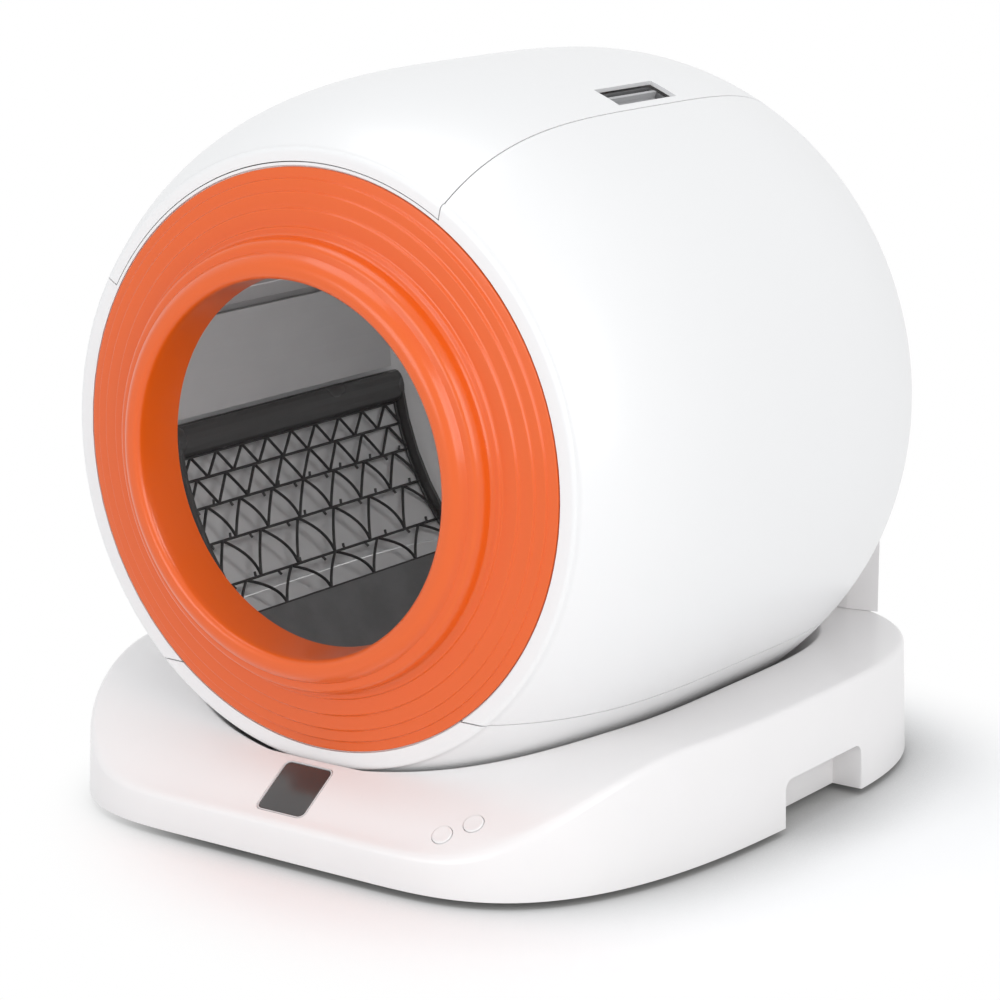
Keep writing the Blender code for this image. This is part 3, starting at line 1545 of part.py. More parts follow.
def add_rollers():
    """Four rollers on axles in two cradles."""
    ear_inner = roller_width / 2 + roller_side_gap
    ear_outer = ear_inner + roller_ear
    places = (("front", roller_front_y), ("back", roller_back_y))
    for side, sign in (("right", 1), ("left", -1)):
        x = sign * roller_x
        low = plate_top + seat_gap
        bm = bmesh.new()
        add_box(bm, (x - cradle_width / 2, roller_front_y - ear_outer - window_margin, low),
                (x + cradle_width / 2, roller_back_y + ear_outer + window_margin, low + cradle_plate))
        cradle = add("roller_cradle_" + side, finish_mesh(bm, "roller_cradle"), dark_grey)
        bm = bmesh.new()
        spans = []
        for _, y in places:
            spans += [(y - ear_outer, y - ear_inner), (y + ear_inner, y + ear_outer)]
        roller_ear_bars(bm, x, spans)
        boolean(cradle, add("cradle_ears_" + side, finish_mesh(bm, "cradle_ears"), cutter=True), "UNION")
        for end, y in places:
            name = end + "_" + side
            bore = bar("cradle_bore_" + name, axle_radius + axle_gap, y - ear_outer - window_margin,
                       y + ear_outer + window_margin, 12, "Y", (x, roller_z), cutter=True)
            cut(cradle, bore)
            add_roller(name, x, y)
            bar("roller_axle_" + name, axle_radius, y - ear_outer - axle_head, y + ear_outer + axle_head, 12,
                "Y", (x, roller_z), material=steel)


def tower_outline(inset):
    """Front view of the tower: straight sides and a head that is round about the drum's axis."""
    half = tower_half_width - inset
    bottom = base_height + seat_gap if inset == 0 else base_height - cutter_overrun / 4
    return [(-half, bottom)] + arc(half, -pi / 2, pi / 2, 16, (0, axis_height)) + [(half, bottom)]


def add_tower():
    """Raised back wall behind the drum, with a vented cover."""
    tower = prism("rear_tower", tower_outline(0), tower_front_y, base_back_y + cutter_overrun, "Y",
                  material=warm_white)
    above = tower_top + cutter_overrun
    behind = base_back_y + cutter_overrun
    keep(tower, prism("tower_plan", plan_outline(tower_inset), base_underside, above, "Z", cutter=True))
    hollow_shape = tower_outline(tower_wall + tower_half_width - tower_front_flat)
    hollow = prism("tower_hollow", hollow_shape, tower_inner_y, behind, "Y", cutter=True)
    hollow_plan = plan_outline(tower_inset + tower_wall)
    keep(hollow, prism("tower_hollow_plan", hollow_plan, 0, above, "Z", cutter=True))
    cover_v = (cover_top - cover_bottom) / 2
    cover_middle = (0, (cover_top + cover_bottom) / 2)
    cover_shape = rounded_outline(cover_half_width, cover_v, cover_corner, 4, cover_middle)
    opening = prism("cover_opening", cover_shape, tower_back_y - 2 * tower_wall, behind, "Y", cutter=True)
    bm = bmesh.new()
    add_cylinder(bm, shaft_radius + 2 * window_margin, tower_front_y - cutter_overrun,
                 tower_front_y + tower_wall + seat_gap, 16, "Y", (0, pinion_z))
    shaft_room = add("tower_shaft_hole", finish_mesh(bm, "tower_shaft_hole"), cutter=True)
    cut(tower, hollow, opening, shaft_room)
    bend_y = tower_front_y + tower_front_bend
    for side, sign in (("right", 1), ("left", -1)):
        wedge = prism(
            "tower_bend_" + side,
            [(sign * tower_front_flat, tower_front_y), (sign * tower_half_width, bend_y),
             (sign * wide, bend_y), (sign * wide, tower_front_y - cutter_overrun),
             (sign * tower_front_flat, tower_front_y - cutter_overrun)],
            0, 2 * tower_top, "Z", cutter=True,
        )
        cut(tower, wedge)
    cover = prism(
        "tower_back_cover",
        rounded_outline(cover_half_width - seat_gap, cover_v - seat_gap, cover_corner, 4, cover_middle),
        tower_back_y - cover_thickness, tower_back_y, "Y", material=warm_white,
    )
    bm = bmesh.new()
    first = cover_middle[1] - vent_pitch * (vent_count - 1) / 2
    for i in range(vent_count):
        z = first + vent_pitch * i
        add_prism(bm, rounded_outline(vent_length / 2, vent_width / 2, vent_width / 3, 1, (0, z)),
                  tower_back_y - cutter_overrun, tower_back_y + cutter_overrun)
    cut(cover, add("cover_vents", finish_mesh(bm, "cover_vents"), cutter=True))
    inset = cover_corner * screw_inset_share
    places = [(x, cover_bottom + inset) for x in (-cover_half_width + inset, cover_half_width - inset)]
    for side, place in zip(("left", "right"), places):
        add_screw("cover_screw_" + side, cover, place, tower_back_y, "Y", -1)
    return tower


def add_electrics():
    """Power inlet, position sensor and its magnet."""
    bm = bmesh.new()
    end_y = base_back_y - seat_gap
    add_cylinder(bm, inlet_radius, end_y - inlet_length, end_y, 16, "Y", (inlet_x, inlet_height))
    inlet = add("power_inlet", finish_mesh(bm, "power_inlet"), dark_grey)
    bm = bmesh.new()
    floor_y = end_y - inlet_length + base_wall
    add_cylinder(bm, inlet_socket_radius, floor_y, end_y + cutter_overrun, 12, "Y", (inlet_x, inlet_height))
    cut(inlet, add("inlet_socket", finish_mesh(bm, "inlet_socket"), cutter=True))
    bm = bmesh.new()
    add_cylinder(bm, inlet_pin_radius, floor_y - seat_gap, end_y - base_wall, 8, "Y", (inlet_x, inlet_height))
    boolean(inlet, add("inlet_pin", finish_mesh(bm, "inlet_pin"), cutter=True), "UNION")

    bm = bmesh.new()
    low_y = drum_back_y + seat_gap
    add_cylinder(bm, magnet_radius, low_y, low_y + magnet_thickness, 12, "Y", (-sensor_circle, 0))
    add("home_magnet", finish_mesh(bm, "home_magnet"), zinc, drum_home, drum_axis)
    bm = bmesh.new()
    half = sensor_width / 2
    front = tower_front_y + tower_wall + seat_gap
    add_box(bm, (-sensor_circle - half, front, axis_height - half),
            (-sensor_circle + half, front + sensor_thickness, axis_height + half))
    add("position_sensor", finish_mesh(bm, "position_sensor"), circuit_green)


def build_all():
    upper = add_shells()
    add_strike(upper)
    add_hatch()
    add_latch()
    add_ring()
    add_liner()
    add_sieve()
    add_lip()
    add_chute()
    add_tub()
    add_flap()
    add_drive()
    add_hub()
    add_base()
    add_floor_plate()
    add_display()
    add_buttons()
    add_rollers()
    add_tower()
    add_electrics()


build_all()
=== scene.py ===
import bmesh
import bpy
from math import acos, asin, atan2, cos, hypot, pi, radians, sin, sqrt, tan
from mathutils import Matrix, Vector


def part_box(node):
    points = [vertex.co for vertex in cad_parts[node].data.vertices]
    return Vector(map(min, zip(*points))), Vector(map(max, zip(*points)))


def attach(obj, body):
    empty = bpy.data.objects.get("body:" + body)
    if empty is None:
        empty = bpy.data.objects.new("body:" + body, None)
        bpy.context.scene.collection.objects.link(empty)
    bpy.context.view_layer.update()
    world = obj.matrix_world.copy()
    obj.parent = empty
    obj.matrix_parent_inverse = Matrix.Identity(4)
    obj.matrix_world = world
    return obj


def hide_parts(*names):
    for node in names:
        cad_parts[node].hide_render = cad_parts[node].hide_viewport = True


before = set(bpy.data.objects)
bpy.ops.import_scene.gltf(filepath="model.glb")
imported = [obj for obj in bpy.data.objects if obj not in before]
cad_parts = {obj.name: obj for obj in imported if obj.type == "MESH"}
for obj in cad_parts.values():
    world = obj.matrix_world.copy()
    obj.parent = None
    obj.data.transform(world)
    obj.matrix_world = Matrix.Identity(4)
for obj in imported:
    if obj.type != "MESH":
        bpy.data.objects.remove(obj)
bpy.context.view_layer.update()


# Place to photograph
# A plain pale floor that fades into a white surround. Soft lamps stand front, right and above, at a
# level where a white moulding stays just below white. A small one lights the drum's inside.
bpy.context.scene.view_settings.view_transform = "Standard"
camera = bpy.data.objects.new("camera", bpy.data.cameras.new("camera"))
bpy.context.scene.collection.objects.link(camera)
camera.data.lens = 117.33
camera.data.sensor_width = 36
camera.data.clip_start = 0.1
camera.data.clip_end = 50
camera.data.dof.use_dof = False
to_right = Vector((0.81272, 0.58266, 0))
to_top = Vector((-0.13599, 0.18969, 0.97238))
to_back = Vector((0.56656, -0.79027, 0.2334))
camera_turn = Matrix((to_right, to_top, to_back)).transposed().to_4x4()
camera.matrix_world = Matrix.Translation((1.32166, -1.84376, 0.74281)) @ camera_turn
bpy.context.scene.camera = camera


def add_node(tree, kind, values=()):
    """One shader node, with values for some of its sockets."""
    node = tree.nodes.new(kind)
    for socket, value in dict(values).items():
        node.inputs[socket].default_value = value
    return node


def seen_by_eye(tree, lit, seen, target):
    """Send one surface to the camera, mirrors and clear plastic, and the lit one to all other light."""
    path = add_node(tree, "ShaderNodeLightPath")
    share = path.outputs["Is Camera Ray"]
    for ray in ("Is Glossy Ray", "Is Transmission Ray"):
        either = add_node(tree, "ShaderNodeMath")
        either.operation = "MAXIMUM"
        tree.links.new(share, either.inputs[0])
        tree.links.new(path.outputs[ray], either.inputs[1])
        share = either.outputs[0]
    mix = add_node(tree, "ShaderNodeMixShader")
    tree.links.new(share, mix.inputs["Fac"])
    tree.links.new(lit.outputs[0], mix.inputs[1])
    tree.links.new(seen.outputs[0], mix.inputs[2])
    tree.links.new(mix.outputs[0], target)


world = bpy.data.worlds.new("studio")
bpy.context.scene.world = world
world.use_nodes = True
world.node_tree.nodes.clear()
ambient = add_node(world.node_tree, "ShaderNodeBackground", {"Color": (0.96, 0.98, 1.0, 1), "Strength": 0.62})
clear = add_node(world.node_tree, "ShaderNodeBackground", {"Color": (1, 1, 1, 1), "Strength": 1})
world_end = add_node(world.node_tree, "ShaderNodeOutputWorld")
seen_by_eye(world.node_tree, ambient, clear, world_end.inputs["Surface"])

FLOOR_END = 9
floor_mesh = bpy.data.meshes.new("floor")
floor_mesh.from_pydata([(-FLOOR_END, -FLOOR_END, 0), (FLOOR_END, -FLOOR_END, 0), (FLOOR_END, FLOOR_END, 0),
                        (-FLOOR_END, FLOOR_END, 0)], [], [(0, 1, 2, 3)])
floor = bpy.data.objects.new("floor", floor_mesh)
bpy.context.scene.collection.objects.link(floor)
floor_look = bpy.data.materials.new("pale_floor")
floor_look.use_nodes = True
floor_mesh.materials.append(floor_look)
floor_tree = floor_look.node_tree
floor_links = floor_tree.links
floor_shader = floor_tree.nodes["Principled BSDF"]
floor_shader.inputs["Specular IOR Level"].default_value = 0.1
floor_place = add_node(floor_tree, "ShaderNodeTexCoord")

# The floor's sheen is slightly uneven, and painted shade darkens its colour in the nook under the base.
floor_mottle = add_node(floor_tree, "ShaderNodeTexNoise", {"Scale": 40})
floor_sheen = add_node(floor_tree, "ShaderNodeMapRange", {"To Min": 0.55, "To Max": 0.65})
floor_links.new(floor_place.outputs["Object"], floor_mottle.inputs["Vector"])
floor_links.new(floor_mottle.outputs["Fac"], floor_sheen.inputs["Value"])
floor_links.new(floor_sheen.outputs["Result"], floor_shader.inputs["Roughness"])
# Ambient occlusion sets where the painted shade falls: dark grey close under the base, pale further out.
floor_shade_occlusion = add_node(floor_tree, "ShaderNodeAmbientOcclusion", {"Distance": 0.09})
floor_shade_occlusion.samples = 8
floor_shade_depth = add_node(floor_tree, "ShaderNodeMapRange", {"From Min": 0.25, "From Max": 0.95})
floor_painted_shade = add_node(floor_tree, "ShaderNodeMix")
floor_painted_shade.data_type = "RGBA"
floor_painted_shade.inputs["A"].default_value = (0.33, 0.33, 0.325, 1)
floor_painted_shade.inputs["B"].default_value = (0.95, 0.95, 0.955, 1)
floor_links.new(floor_shade_occlusion.outputs["AO"], floor_shade_depth.inputs["Value"])
floor_links.new(floor_shade_depth.outputs["Result"], floor_painted_shade.inputs["Factor"])
floor_links.new(floor_painted_shade.outputs["Result"], floor_shader.inputs["Base Color"])

# Away from the object it fades to plain white, which hides where it ends.
floor_shift = add_node(floor_tree, "ShaderNodeMapping",
                       {"Location": (-0.38, 0.1, 0), "Scale": (1 / 0.26, 1 / 0.27, 0)})
floor_reach = add_node(floor_tree, "ShaderNodeVectorMath")
floor_reach.operation = "LENGTH"
floor_fade = add_node(floor_tree, "ShaderNodeMapRange", {"From Min": 1.0, "From Max": 1.5})
floor_fade.interpolation_type = "SMOOTHSTEP"
floor_lift = add_node(floor_tree, "ShaderNodeEmission", {"Color": (1, 1, 1, 1), "Strength": 0.04})
floor_near = add_node(floor_tree, "ShaderNodeAddShader")
floor_clear = add_node(floor_tree, "ShaderNodeEmission", {"Color": (1, 1, 1, 1)})
floor_far = add_node(floor_tree, "ShaderNodeMixShader")
floor_links.new(floor_place.outputs["Object"], floor_shift.inputs["Vector"])
floor_links.new(floor_shift.outputs["Vector"], floor_reach.inputs[0])
floor_links.new(floor_reach.outputs["Value"], floor_fade.inputs["Value"])
floor_links.new(floor_shader.outputs[0], floor_near.inputs[0])
floor_links.new(floor_lift.outputs[0], floor_near.inputs[1])
floor_links.new(floor_fade.outputs["Result"], floor_far.inputs["Fac"])
floor_links.new(floor_near.outputs[0], floor_far.inputs[1])
floor_links.new(floor_clear.outputs[0], floor_far.inputs[2])
seen_by_eye(floor_tree, floor_shader, floor_far, floor_tree.nodes["Material Output"].inputs["Surface"])


def lamp(name, place, aim, width, height, power, tint):
    """One soft rectangular lamp that faces a point."""
    light = bpy.data.lights.new(name, "AREA")
    light.shape = "RECTANGLE"
    light.size = width
    light.size_y = height
    light.energy = power
    light.color = tint
    holder = bpy.data.objects.new(name, light)
    bpy.context.scene.collection.objects.link(holder)
    holder.location = place
    holder.rotation_euler = (Vector(aim) - Vector(place)).to_track_quat("-Z", "Y").to_euler()
    return holder


lamp("overhead_lamp", (-0.3, -0.1, 2.6), (0, 0, 0.2), 1.6, 1.6, 12.5, (1, 1, 1))
lamp("right_lamp", (2.4, -0.9, 1.3), (0, 0, 0.25), 1.6, 1.8, 26, (1, 0.99, 0.98))
lamp("front_lamp", (-0.3, -2.8, 1.1), (0, 0, 0.2), 1.8, 1.4, 20, (1, 1, 1))
inside_lamp = lamp("inside_lamp", (0.1, -0.14, 0.35), (-0.17, 0.06, 0.2), 0.12, 0.08, 0.2, (1, 1, 1))
inside_lamp.data.spread = 2.6
inside_lamp.visible_camera = False


# White drum skin
# Two moulded shells of glossy white plastic that meet low on the drum. The upper one leaves a wide
# window for the hatch. They clip together behind the orange ring.
MM = 0.001
AXIS = 264.3 * MM
DRUM_RADIUS = 249.5 * MM
DRUM_MIDDLE = 13.3 * MM
FRONT_FACE = -210.5 * MM
BACK_FACE = 222.5 * MM
FRONT_ROUND, BACK_ROUND = 4 * MM, 6 * MM
BACK_SHOULDER = 12 * MM
FRONT_CURVE, BACK_CURVE = (277 * MM, 3.43), (230.4 * MM, 4.21)
BEARING_HOLE = 24 * MM
MOUTH = 130.5 * MM
SEAM_DEPTH = 156.3 * MM
RING_STEP, RING_SEAT = 199 * MM, 2 * MM
SKIN = 3 * MM
SEAM = 0.9 * MM
SKIN_EDGE = 0.45 * MM
WELD, SLACK = 0.004 * MM, 0.01 * MM


def drum_radius_at(y):
    """Outer radius of the drum's round body."""
    reach, power = FRONT_CURVE if y < DRUM_MIDDLE else BACK_CURVE
    share = abs(y - DRUM_MIDDLE) / reach
    return DRUM_RADIUS * (1 - share ** power) ** (1 / power)


def moulded(name, color, roughness, patch=0.03, patch_size=0.06, grain=0.02, grain_size=0.0011,
            shade=0.03, metal=0.0, coat=0.0, gloss=0.5, see_in=0.0):
    """Moulded surface: slow changes of tone and sheen, and a fine grain that breaks up reflections."""
    look = bpy.data.materials.new(name)
    look.use_nodes = True
    tree, links = look.node_tree, look.node_tree.links
    shader = tree.nodes["Principled BSDF"]
    shader.inputs["Metallic"].default_value = metal
    shader.inputs["Coat Weight"].default_value = coat
    shader.inputs["Coat Roughness"].default_value = 0.12
    shader.inputs["Specular IOR Level"].default_value = gloss
    if see_in:
        shader.inputs["Subsurface Weight"].default_value = see_in
        shader.inputs["Subsurface Radius"].default_value = (0.004, 0.0022, 0.0012)
        shader.inputs["Subsurface Scale"].default_value = 1.0
    place = add_node(tree, "ShaderNodeTexCoord")
    slow = add_node(tree, "ShaderNodeTexNoise", {"Scale": 1 / patch_size, "Detail": 3})
    links.new(place.outputs["Object"], slow.inputs["Vector"])

    def drift(low, high):
        """A slow and soft change between two values."""
        span = add_node(tree, "ShaderNodeMapRange",
                        {"From Min": 0.3, "From Max": 0.7, "To Min": low, "To Max": high})
        span.interpolation_type = "SMOOTHSTEP"
        links.new(slow.outputs["Fac"], span.inputs["Value"])
        return span.outputs["Result"]

    paint = add_node(tree, "ShaderNodeMix")
    paint.data_type = "RGBA"
    paint.blend_type = "MULTIPLY"
    paint.inputs["Factor"].default_value = 1
    paint.inputs["A"].default_value = (*color, 1)
    links.new(drift(1 - shade, 1), paint.inputs["B"])
    links.new(paint.outputs["Result"], shader.inputs["Base Color"])
    links.new(drift(max(0.02, roughness - patch), roughness + patch), shader.inputs["Roughness"])
    fine = add_node(tree, "ShaderNodeTexNoise", {"Scale": 1 / grain_size, "Detail": 2})
    links.new(place.outputs["Object"], fine.inputs["Vector"])
    bump = add_node(tree, "ShaderNodeBump", {"Strength": grain, "Distance": grain_size / 2})
    links.new(fine.outputs["Fac"], bump.inputs["Height"])
    links.new(bump.outputs["Normal"], shader.inputs["Normal"])
    return look


def piece(name, mesh, look, body, stands_for=(), sharp=radians(32)):
    """Put one finished mesh on the object."""
    obj = bpy.data.objects.new(name, mesh)
    bpy.context.scene.collection.objects.link(obj)
    mesh.materials.clear()
    mesh.materials.append(look)
    mesh.shade_smooth()
    mesh.set_sharp_from_angle(angle=sharp)
    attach(obj, body)
    if stands_for:
        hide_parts(*stands_for)
    return obj


def soften(obj, width, angle=radians(38)):
    """Round the hard edges of a piece, as a mould's corners do."""
    bevel = obj.modifiers.new("soft_edges", "BEVEL")
    bevel.width = width
    bevel.segments = 2
    bevel.limit_method = "ANGLE"
    bevel.angle_limit = angle


def finished_mesh(name, bm):
    """The built faces as a mesh, with every face turned to the outside."""
    bmesh.ops.recalc_face_normals(bm, faces=bm.faces)
    mesh = bpy.data.meshes.new(name)
    bm.to_mesh(mesh)
    bm.free()
    return mesh


def closed_sheet(name, outer, inner, used=None, meets=None, round_about=False):
    """A wall between two grids of points, closed at its edges and round each cell that isn't used. Meets
    tells the rows whose first and last points fall together."""
    rows, columns = len(outer), len(outer[0])
    last = columns if round_about else columns - 1
    bm = bmesh.new()
    made = {}

    def corner(layer, row, column):
        key = (layer, row, column % columns)
        if key not in made:
            grid = outer if layer == 0 else inner
            made[key] = bm.verts.new(grid[row][column % columns])
        return made[key]

    def kept(row, column):
        if not 0 <= row < rows - 1:
            return False
        if round_about or (meets and meets[row] and meets[row + 1]):
            column %= last
        return 0 <= column < last and (used is None or used(row, column))

    for row in range(rows - 1):
        for column in range(last):
            if not kept(row, column):
                continue
            a, b = (row, column), (row, column + 1)
            c, d = (row + 1, column + 1), (row + 1, column)
            bm.faces.new([corner(0, *p) for p in (a, b, c, d)])
            bm.faces.new([corner(1, *p) for p in (d, c, b, a)])
            for near, far, other in ((a, b, (row - 1, column)), (b, c, (row, column + 1)),
                                     (c, d, (row + 1, column)), (d, a, (row, column - 1))):
                if not kept(*other):
                    bm.faces.new((corner(0, *far), corner(0, *near), corner(1, *near), corner(1, *far)))
    bmesh.ops.remove_doubles(bm, verts=bm.verts, dist=WELD)
    bmesh.ops.dissolve_degenerate(bm, edges=bm.edges, dist=WELD / 2)
    return finished_mesh(name, bm)


def spread(low, high, count):
    """Evenly spaced values from low to high, both of them included."""
    return [low + (high - low) * i / count for i in range(count + 1)]


def drum_line():
    """Radius and y along the drum's outside, from the bearing hole in the back to the entry in the front."""
    back_y, front_y = BACK_FACE - BACK_ROUND, FRONT_FACE + FRONT_ROUND
    back_radius, front_radius = drum_radius_at(back_y), drum_radius_at(front_y)
    line = [(r, BACK_FACE) for r in (BEARING_HOLE, 60 * MM, 100 * MM, SEAM_DEPTH, SEAM_DEPTH + 1.1 * MM)]
    line.append((back_radius - BACK_SHOULDER - 0.5 * MM, BACK_FACE))
    for i in range(1, 8):
        t = i / 8
        line.append((back_radius - BACK_SHOULDER * (1 - t) ** 2, BACK_FACE - BACK_ROUND * t ** 2))
    reach, power = BACK_CURVE
    start = acos(((back_y - DRUM_MIDDLE) / reach) ** (power / 2))
    for turn in spread(start, pi / 2, 48):
        y = DRUM_MIDDLE + reach * cos(turn) ** (2 / power)
        line.append((drum_radius_at(y), y))
    reach, power = FRONT_CURVE
    end = acos(((DRUM_MIDDLE - front_y) / reach) ** (power / 2))
    for turn in spread(pi / 2, end, 56)[1:]:
        y = DRUM_MIDDLE - reach * cos(turn) ** (2 / power)
        line.append((drum_radius_at(y), y))
    for t in spread(0, 1, 5)[1:]:
        line.append((front_radius - FRONT_ROUND * t ** 2, FRONT_FACE + FRONT_ROUND * (1 - t) ** 2))
    line += [(r, FRONT_FACE) for r in (RING_STEP + 0.7 * MM, RING_STEP, RING_STEP - 1.9 * MM)]
    seat = (RING_STEP - 2 * MM, SEAM_DEPTH + 1.1 * MM, SEAM_DEPTH, MOUTH)
    line += [(r, FRONT_FACE + RING_SEAT) for r in seat]
    return line


def with_stations(line, places):
    """The line with more points, where it passes the given places along y."""
    full = list(line)
    for y in places:
        for i in range(len(full) - 1):
            (r1, y1), (r2, y2) = full[i], full[i + 1]
            if y1 > y > y2:
                share = (y1 - y) / (y1 - y2)
                full.insert(i + 1, (r1 + (r2 - r1) * share, y))
                break
    return full


def thinner(line, depth):
    """The line moved to the inside by a depth, square to its neighbours."""
    moved = []
    for i, (radius, y) in enumerate(line):
        before = line[max(i - 1, 0)]
        after = line[min(i + 1, len(line) - 1)]
        dr, dy = after[0] - before[0], after[1] - before[1]
        length = hypot(dr, dy)
        radius, y = radius + depth * dy / length, y - depth * dr / length
        y = min(max(y, FRONT_FACE + RING_SEAT + depth), BACK_FACE - depth)
        moved.append((radius, y))
    return moved


def on_drum(radius, y, angle):
    """A point round the drum's axis. The angle runs from the top towards the right."""
    return (radius * sin(angle), y, AXIS + radius * cos(angle))


def seam_angle(radius, height):
    """Angle from the top where a level seam below the axis crosses a circle."""
    return acos(max(-1, min(1, height / radius)))


HATCH_LEFT = radians(59.3)
HATCH_RIGHT = 114.5 * MM
HATCH_LEAN = radians(12.5)
HATCH_BACK = 206 * MM
LOWER_SEAM = -SEAM_DEPTH
hatch_edge_height = DRUM_RADIUS * cos(asin(HATCH_RIGHT / DRUM_RADIUS))


def right_seam(radius, gap):
    """Angle of the hatch's straight right seam on a circle round the axis."""
    reach = (HATCH_RIGHT - gap - hatch_edge_height * tan(HATCH_LEAN)) * cos(HATCH_LEAN)
    return HATCH_LEAN + asin(max(-1, min(1, reach / radius)))


white_skin = moulded("glossy_white_skin", (0.82, 0.82, 0.823), 0.34, patch=0.015, patch_size=0.2,
                     shade=0.008, grain=0.015, coat=0.15)
upper_line = with_stations(drum_line(), [HATCH_BACK])
upper_inside = thinner(upper_line, SKIN)
LEFT_COUNT, WINDOW_COUNT, RIGHT_COUNT = 16, 56, 36


def upper_row(radius, y, outer_radius):
    """Points of one row from the left seam over the top to the right seam."""
    low = seam_angle(outer_radius, LOWER_SEAM)
    left = spread(-low, -HATCH_LEFT, LEFT_COUNT)
    seam = right_seam(max(outer_radius, 150 * MM), 0)
    middle = spread(-HATCH_LEFT, seam, WINDOW_COUNT)
    right = spread(seam, low, RIGHT_COUNT)
    return [on_drum(radius, y, angle) for angle in left + middle[1:] + right[1:]]


def upper_kept(row, column):
    """The shell is open where the hatch lies."""
    if not LEFT_COUNT <= column < LEFT_COUNT + WINDOW_COUNT:
        return True
    radius, y = upper_line[row]
    behind_hatch = upper_line[row + 1][1] > HATCH_BACK - SLACK
    under_ring = radius < RING_STEP + 0.05 * MM and y < 0
    return behind_hatch or under_ring


upper_mesh = closed_sheet(
    "upper_skin",
    [upper_row(r, y, r) for r, y in upper_line],
    [upper_row(r, y, r0) for (r, y), (r0, _) in zip(upper_inside, upper_line)],
    upper_kept, [r < SEAM_DEPTH + 0.05 * MM for r, _ in upper_line],
)
upper_skin = piece("upper_skin", upper_mesh, white_skin, "drum", ["drum_upper_shell"])
soften(upper_skin, SKIN_EDGE)

lower_line = [p for p in drum_line() if p[0] > SEAM_DEPTH + 0.7 * MM]
lower_inside = thinner(lower_line, SKIN)


def lower_row(radius, y, outer_radius):
    """Points of one row round below, from the right seam to the left one."""
    start = seam_angle(outer_radius, LOWER_SEAM - SEAM)
    return [on_drum(radius, y, angle) for angle in spread(start, 2 * pi - start, 72)]


lower_mesh = closed_sheet(
    "lower_skin",
    [lower_row(r, y, r) for r, y in lower_line],
    [lower_row(r, y, r0) for (r, y), (r0, _) in zip(lower_inside, lower_line)],
)
lower_skin = piece("lower_skin", lower_mesh, white_skin, "drum", ["drum_lower_shell"])
soften(lower_skin, SKIN_EDGE)


# Waste hatch
# The same white plastic, moulded as one curved lid over the waste tub. It hooks in at its left
# edge. A finger recess is cut near its straight right edge.
RECESS_FRONT, RECESS_BACK = -13 * MM, 58 * MM
recess_left = asin(87 * MM / DRUM_RADIUS)
recess_right = asin(108 * MM / DRUM_RADIUS)
LID_COUNT, RECESS_COUNT, STRIP_COUNT = 56, 4, 3
lid_back = HATCH_BACK - SEAM
lid_end = RING_STEP + 0.6 * MM
lid_line = [(drum_radius_at(lid_back), lid_back)]
lid_line += [(r, y) for r, y in upper_line if y < lid_back - 0.5 * MM and r > lid_end]
lid_line = with_stations(lid_line, [RECESS_FRONT, RECESS_BACK])
lid_inside = [(max(r, lid_end), y) for r, y in thinner(lid_line, SKIN)]


def lid_row(radius, y, outer_radius):
    """Points of one row of the lid, a seam's width inside the window."""
    left = spread(-HATCH_LEFT + SEAM / DRUM_RADIUS, recess_left, LID_COUNT)
    middle = spread(recess_left, recess_right, RECESS_COUNT)
    right = spread(recess_right, right_seam(outer_radius, SEAM), STRIP_COUNT)
    return [on_drum(radius, y, angle) for angle in left + middle[1:] + right[1:]]


def lid_kept(row, column):
    """The lid is open at the finger recess."""
    beside = not LID_COUNT <= column < LID_COUNT + RECESS_COUNT
    behind = lid_line[row + 1][1] >= RECESS_BACK - SLACK
    ahead = lid_line[row][1] <= RECESS_FRONT + SLACK
    return beside or behind or ahead


lid_mesh = closed_sheet(
    "hatch_lid",
    [lid_row(r, y, r) for r, y in lid_line],
    [lid_row(r, y, r0) for (r, y), (r0, _) in zip(lid_inside, lid_line)],
    lid_kept,
)
hatch_lid = piece("hatch_lid", lid_mesh, white_skin, "hatch", ["hatch_cover"])
soften(hatch_lid, SKIN_EDGE)


# Orange ring
# One glossy orange moulding that is seated in the skin's front step. Fine steps lead in to a rolled
# lip, and its collar lines the mouth.
orange_plastic = moulded("glossy_orange_plastic", (0.75, 0.108, 0.006), 0.3, patch=0.015, patch_size=0.15,
                         shade=0.015, grain=0.015, coat=0.2, see_in=0.04)


def lathe(name, profile, steps, middle, closed=True):
    """A profile of radius and y turned about an axis that runs front to back through a middle."""
    bm = bmesh.new()
    rings = []
    across, up = middle
    for radius, y in profile:
        if radius < 1e-7:
            rings.append([bm.verts.new((across, y, up))] * steps)
            continue
        ring = []
        for i in range(steps):
            turn = 2 * pi * i / steps
            ring.append(bm.verts.new((across + radius * sin(turn), y, up + radius * cos(turn))))
        rings.append(ring)
    pairs = list(zip(rings, rings[1:]))
    if closed:
        pairs.append((rings[-1], rings[0]))
    for first, second in pairs:
        for i in range(steps):
            j = (i + 1) % steps
            corners = []
            for vert in (first[i], first[j], second[j], second[i]):
                if vert not in corners:
                    corners.append(vert)
            if len(corners) > 2:
                bm.faces.new(corners)
    return finished_mesh(name, bm)


def rounded(points, radii, steps=4):
    """A line of corners with each corner turned into a small curve."""
    smooth = []
    for i, (point, radius) in enumerate(zip(points, radii)):
        here = Vector(point)
        before = Vector(points[i - 1]) - here
        after = Vector(points[(i + 1) % len(points)]) - here
        reach = min(radius, before.length * 0.48, after.length * 0.48)
        if reach < 1e-7:
            smooth.append(tuple(here))
            continue
        first = here + before.normalized() * reach
        last = here + after.normalized() * reach
        for k in range(steps + 1):
            t = k / steps
            smooth.append(tuple(first * (1 - t) ** 2 + here * 2 * t * (1 - t) + last * t ** 2))
    return smooth


